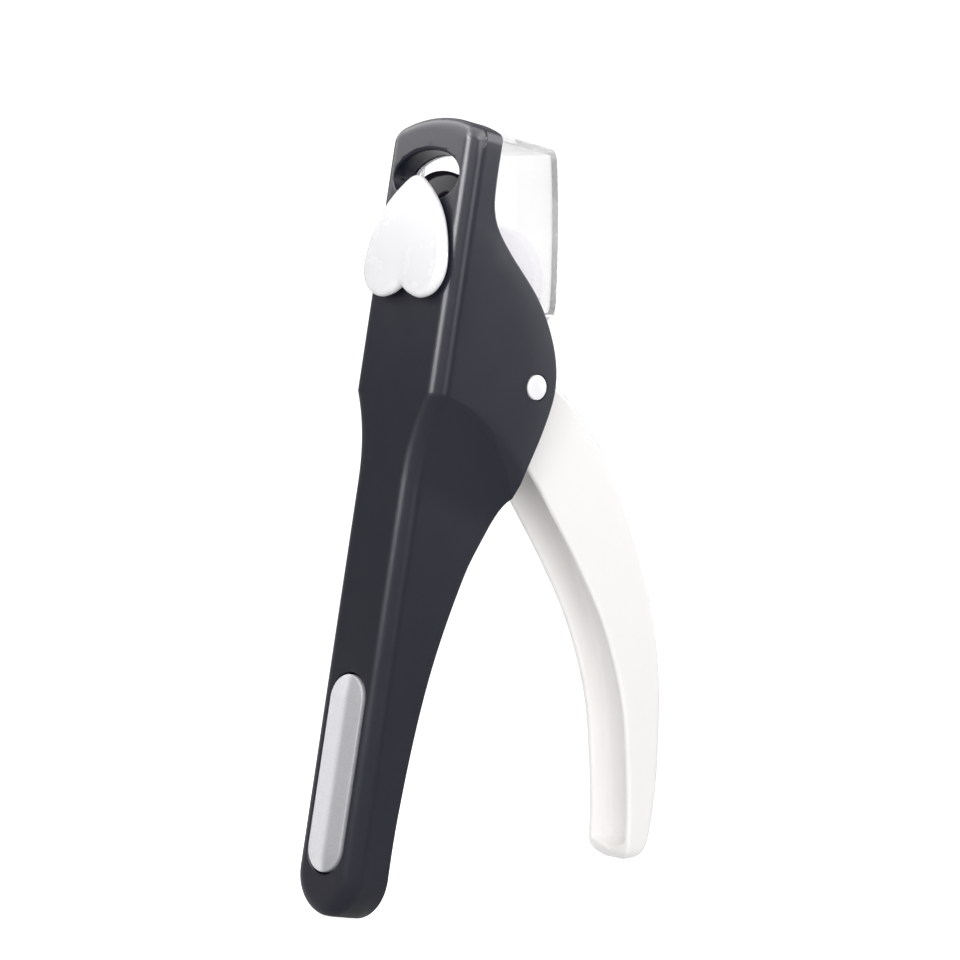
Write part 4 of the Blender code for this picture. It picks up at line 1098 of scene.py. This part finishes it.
def make_spring():
    """The return spring: a static coil of wire round the pivot, from the frame to the lever."""
    turns, per_turn, radius, wire, side = 4, 40, 3.3, 0.42, 2.1
    sweep = 360.0 * turns - 120.0
    points = [(-side, 12.6, 112.3), (-side, 15.5, 110.4)]
    count = per_turn * turns
    for k in range(count + 1):
        angle = math.radians(118.0 + sweep * k / count)
        points.append((-side + 2 * side * k / count, PIVOT[0] + radius * math.cos(angle),
                       PIVOT[1] + radius * math.sin(angle)))
    points += [(side, 29.6, 102.6), (side, 35.0, 101.5), (side, 41.0, 98.2)]
    curve = bpy.data.curves.new("return_spring", "CURVE")
    curve.dimensions = "3D"
    curve.bevel_depth = wire
    curve.bevel_resolution = 4
    curve.use_fill_caps = True
    line = curve.splines.new("POLY")
    line.points.add(len(points) - 1)
    for target, point in zip(line.points, points):
        target.co = (*point, 1)
    holder = linked("holder", curve)
    mesh = evaluated_mesh(holder)
    bpy.data.objects.remove(holder)
    spring = placed("return_spring", mesh, SPRING)
    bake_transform(spring)
    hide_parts("torsion_spring")


def dress(finish, *names):
    """Gives CAD nodes that stay their material."""
    for name in names:
        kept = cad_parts[name]
        kept.data.materials.clear()
        kept.data.materials.append(finish)


# ---------------------------------------------------------------- camera, floor and light

WORLD_AS_LIGHT, WORLD_SEEN, SEEN_THROUGH = 0.33, 1.25, 0.93
FLOOR_AS_LIGHT, FLOOR_SEEN = 0.12, 0.95


def make_camera():
    """The photo's camera: an azimuth and height about the object, and a lean about its line of sight."""
    turn, lift, lean = math.radians(48.371), math.radians(-3.017), math.radians(-8.408)
    distance, aside, above = 636.353, 13.526, 7.12
    back = Vector((math.sin(turn) * math.cos(lift), -math.cos(turn) * math.cos(lift),
                   math.sin(lift)))
    right = Vector((math.cos(turn), math.sin(turn), 0))
    up = back.cross(right)
    across = right * math.cos(lean) - up * math.sin(lean)
    upright = right * math.sin(lean) + up * math.cos(lean)
    middle = Vector((0, 8.0, LENGTH / 2))
    place = in_frame(*(middle + across * aside + upright * above + back * distance))
    lens = bpy.data.cameras.new("camera")
    lens.sensor_width = 36
    lens.lens = 127.65
    lens.clip_start = 0.01
    camera = linked("camera", lens)
    camera.matrix_world = Matrix.Translation(place) @ Matrix(
        (across, upright, back)).transposed().to_4x4()
    bpy.context.scene.camera = camera


def soft_box(name, azimuth, distance, height, size, radiance, aim=75.0, seen_by="all"):
    """A soft box aimed at the object; azimuth 0 is in front and 90 on its right.

    Matt lamps light surfaces only, gloss lamps show in reflections only.
    """
    lamp = bpy.data.lights.new(name, "AREA")
    lamp.shape = "RECTANGLE"
    lamp.size, lamp.size_y = size
    lamp.energy = radiance * math.pi * size[0] * size[1]
    turn = math.radians(azimuth)
    place = Vector((distance * math.sin(turn), -distance * math.cos(turn), height))
    goal = in_frame(0, 30, aim)
    made = linked(name, lamp)
    made.location = place
    made.rotation_euler = (goal - place).to_track_quat("-Z", "Y").to_euler()
    made.visible_camera = False
    made.visible_transmission = False
    made.visible_diffuse = seen_by != "gloss"
    made.visible_glossy = seen_by != "matt"


def make_world():
    """White to the eye, dimmer as a light, so that dark plastic keeps its contrast."""
    world = bpy.data.worlds.new("studio")
    bpy.context.scene.world = world
    world.use_nodes = True
    tree = world.node_tree
    background = tree.nodes["Background"]
    path = node(tree, "ShaderNodeLightPath")
    seen = node(tree, "ShaderNodeMath", operation="MAXIMUM")
    level = node(tree, "ShaderNodeMapRange")
    level.inputs["To Min"].default_value = WORLD_AS_LIGHT
    level.inputs["To Max"].default_value = WORLD_SEEN
    tree.links.new(path.outputs["Is Camera Ray"], seen.inputs[0])
    share = node(tree, "ShaderNodeMath", operation="MULTIPLY")
    share.inputs[1].default_value = SEEN_THROUGH
    tree.links.new(path.outputs["Is Transmission Ray"], share.inputs[0])
    tree.links.new(share.outputs[0], seen.inputs[1])
    tree.links.new(seen.outputs[0], level.inputs["Value"])
    tree.links.new(level.outputs["Result"], background.inputs["Strength"])
    background.inputs["Color"].default_value = (1, 1, 1, 1)


def make_floor():
    """A pale round floor that glows to the camera, so that it runs into the white behind."""
    mesh = skin("floor", [[(x, y, 0) for x, y in ellipse((0, 0), (radius, radius), 96)]
                          for radius in (0.001, 1.4)], caps=False)
    floor = linked("floor", mesh)
    floor.location.z = -0.0002
    made, tree, shader = new_material("pale_floor", Roughness=0.9, Specular_IOR_Level=0.0)
    shader.inputs["Base Color"].default_value = (0.8, 0.8, 0.8, 1)
    shader.inputs["Emission Color"].default_value = (1, 1, 1, 1)
    path = node(tree, "ShaderNodeLightPath")
    glow = node(tree, "ShaderNodeMapRange")
    glow.inputs["To Min"].default_value = FLOOR_AS_LIGHT
    glow.inputs["To Max"].default_value = FLOOR_SEEN
    tree.links.new(path.outputs["Is Camera Ray"], glow.inputs["Value"])
    tree.links.new(glow.outputs[0], shader.inputs["Emission Strength"])
    mesh.materials.append(made)


make_camera()
make_world()
make_floor()
soft_box("overhead", 30, 0.05, 1.3, (1.6, 1.6), 0.25)
soft_box("camera_side", 52, 1.0, 0.15, (1.0, 1.0), 3.7, seen_by="matt")
soft_box("left_fill", -75, 0.8, 0.35, (0.7, 0.7), 1.2, seen_by="matt")
soft_box("front_high", 0, 0.8, 0.85, (0.7, 0.7), 0.25)
soft_box("right_high", 75, 0.8, 0.85, (0.7, 0.7), 0.3)
soft_box("rear_high", 170, 0.9, 0.8, (0.8, 0.8), 0.5)
soft_box("left_high", -100, 0.9, 0.8, (0.8, 0.8), 0.5)
soft_box("front_strip", -4, 0.7, 0.52, (0.36, 0.8), 12, seen_by="gloss")
soft_box("front_strip_top", -4, 0.68, 0.33, (0.3, 0.3), 18, seen_by="gloss")
soft_box("fillet_card", 40, 0.7, 0.34, (0.5, 0.24), 3.6, seen_by="gloss")
soft_box("right_strip", 84, 0.7, 0.55, (0.34, 0.8), 7, seen_by="gloss")
soft_box("cheek_card", 154, 0.7, 0.36, (0.22, 0.4), 19, seen_by="gloss")
soft_box("head_front", -48, 0.13, 0.245, (0.16, 0.21), 4.0, aim=170.0, seen_by="gloss")
soft_box("head_side", 128, 0.13, 0.27, (0.16, 0.2), 4.4, aim=170.0, seen_by="gloss")
soft_box("head_top", 40, 0.1, 0.42, (0.4, 0.4), 4.0, aim=150.0, seen_by="gloss")

make_casing()
make_handle_cover()
make_file()
make_lever()
make_pin_caps()
make_heart()
make_tongue()
make_plate()
make_frame()
make_cover()
make_spring()
dress(STEEL, "moving_blade", "pivot_pin", "drive_pin", "cover_hinge_pin", "lever_bush",
      "handle_screw_upper", "handle_screw_lower", "frame_screw_left", "frame_screw_right",
      "plate_screw_left", "plate_screw_right", "blade_screw_lower", "blade_screw_upper",
      "slider_screw")
dress(SPRING, "detent_spring")
dress(ACETAL, "blade_carriage", "lever_washer_left", "lever_washer_right")

bpy.context.scene.view_settings.view_transform = "Standard"
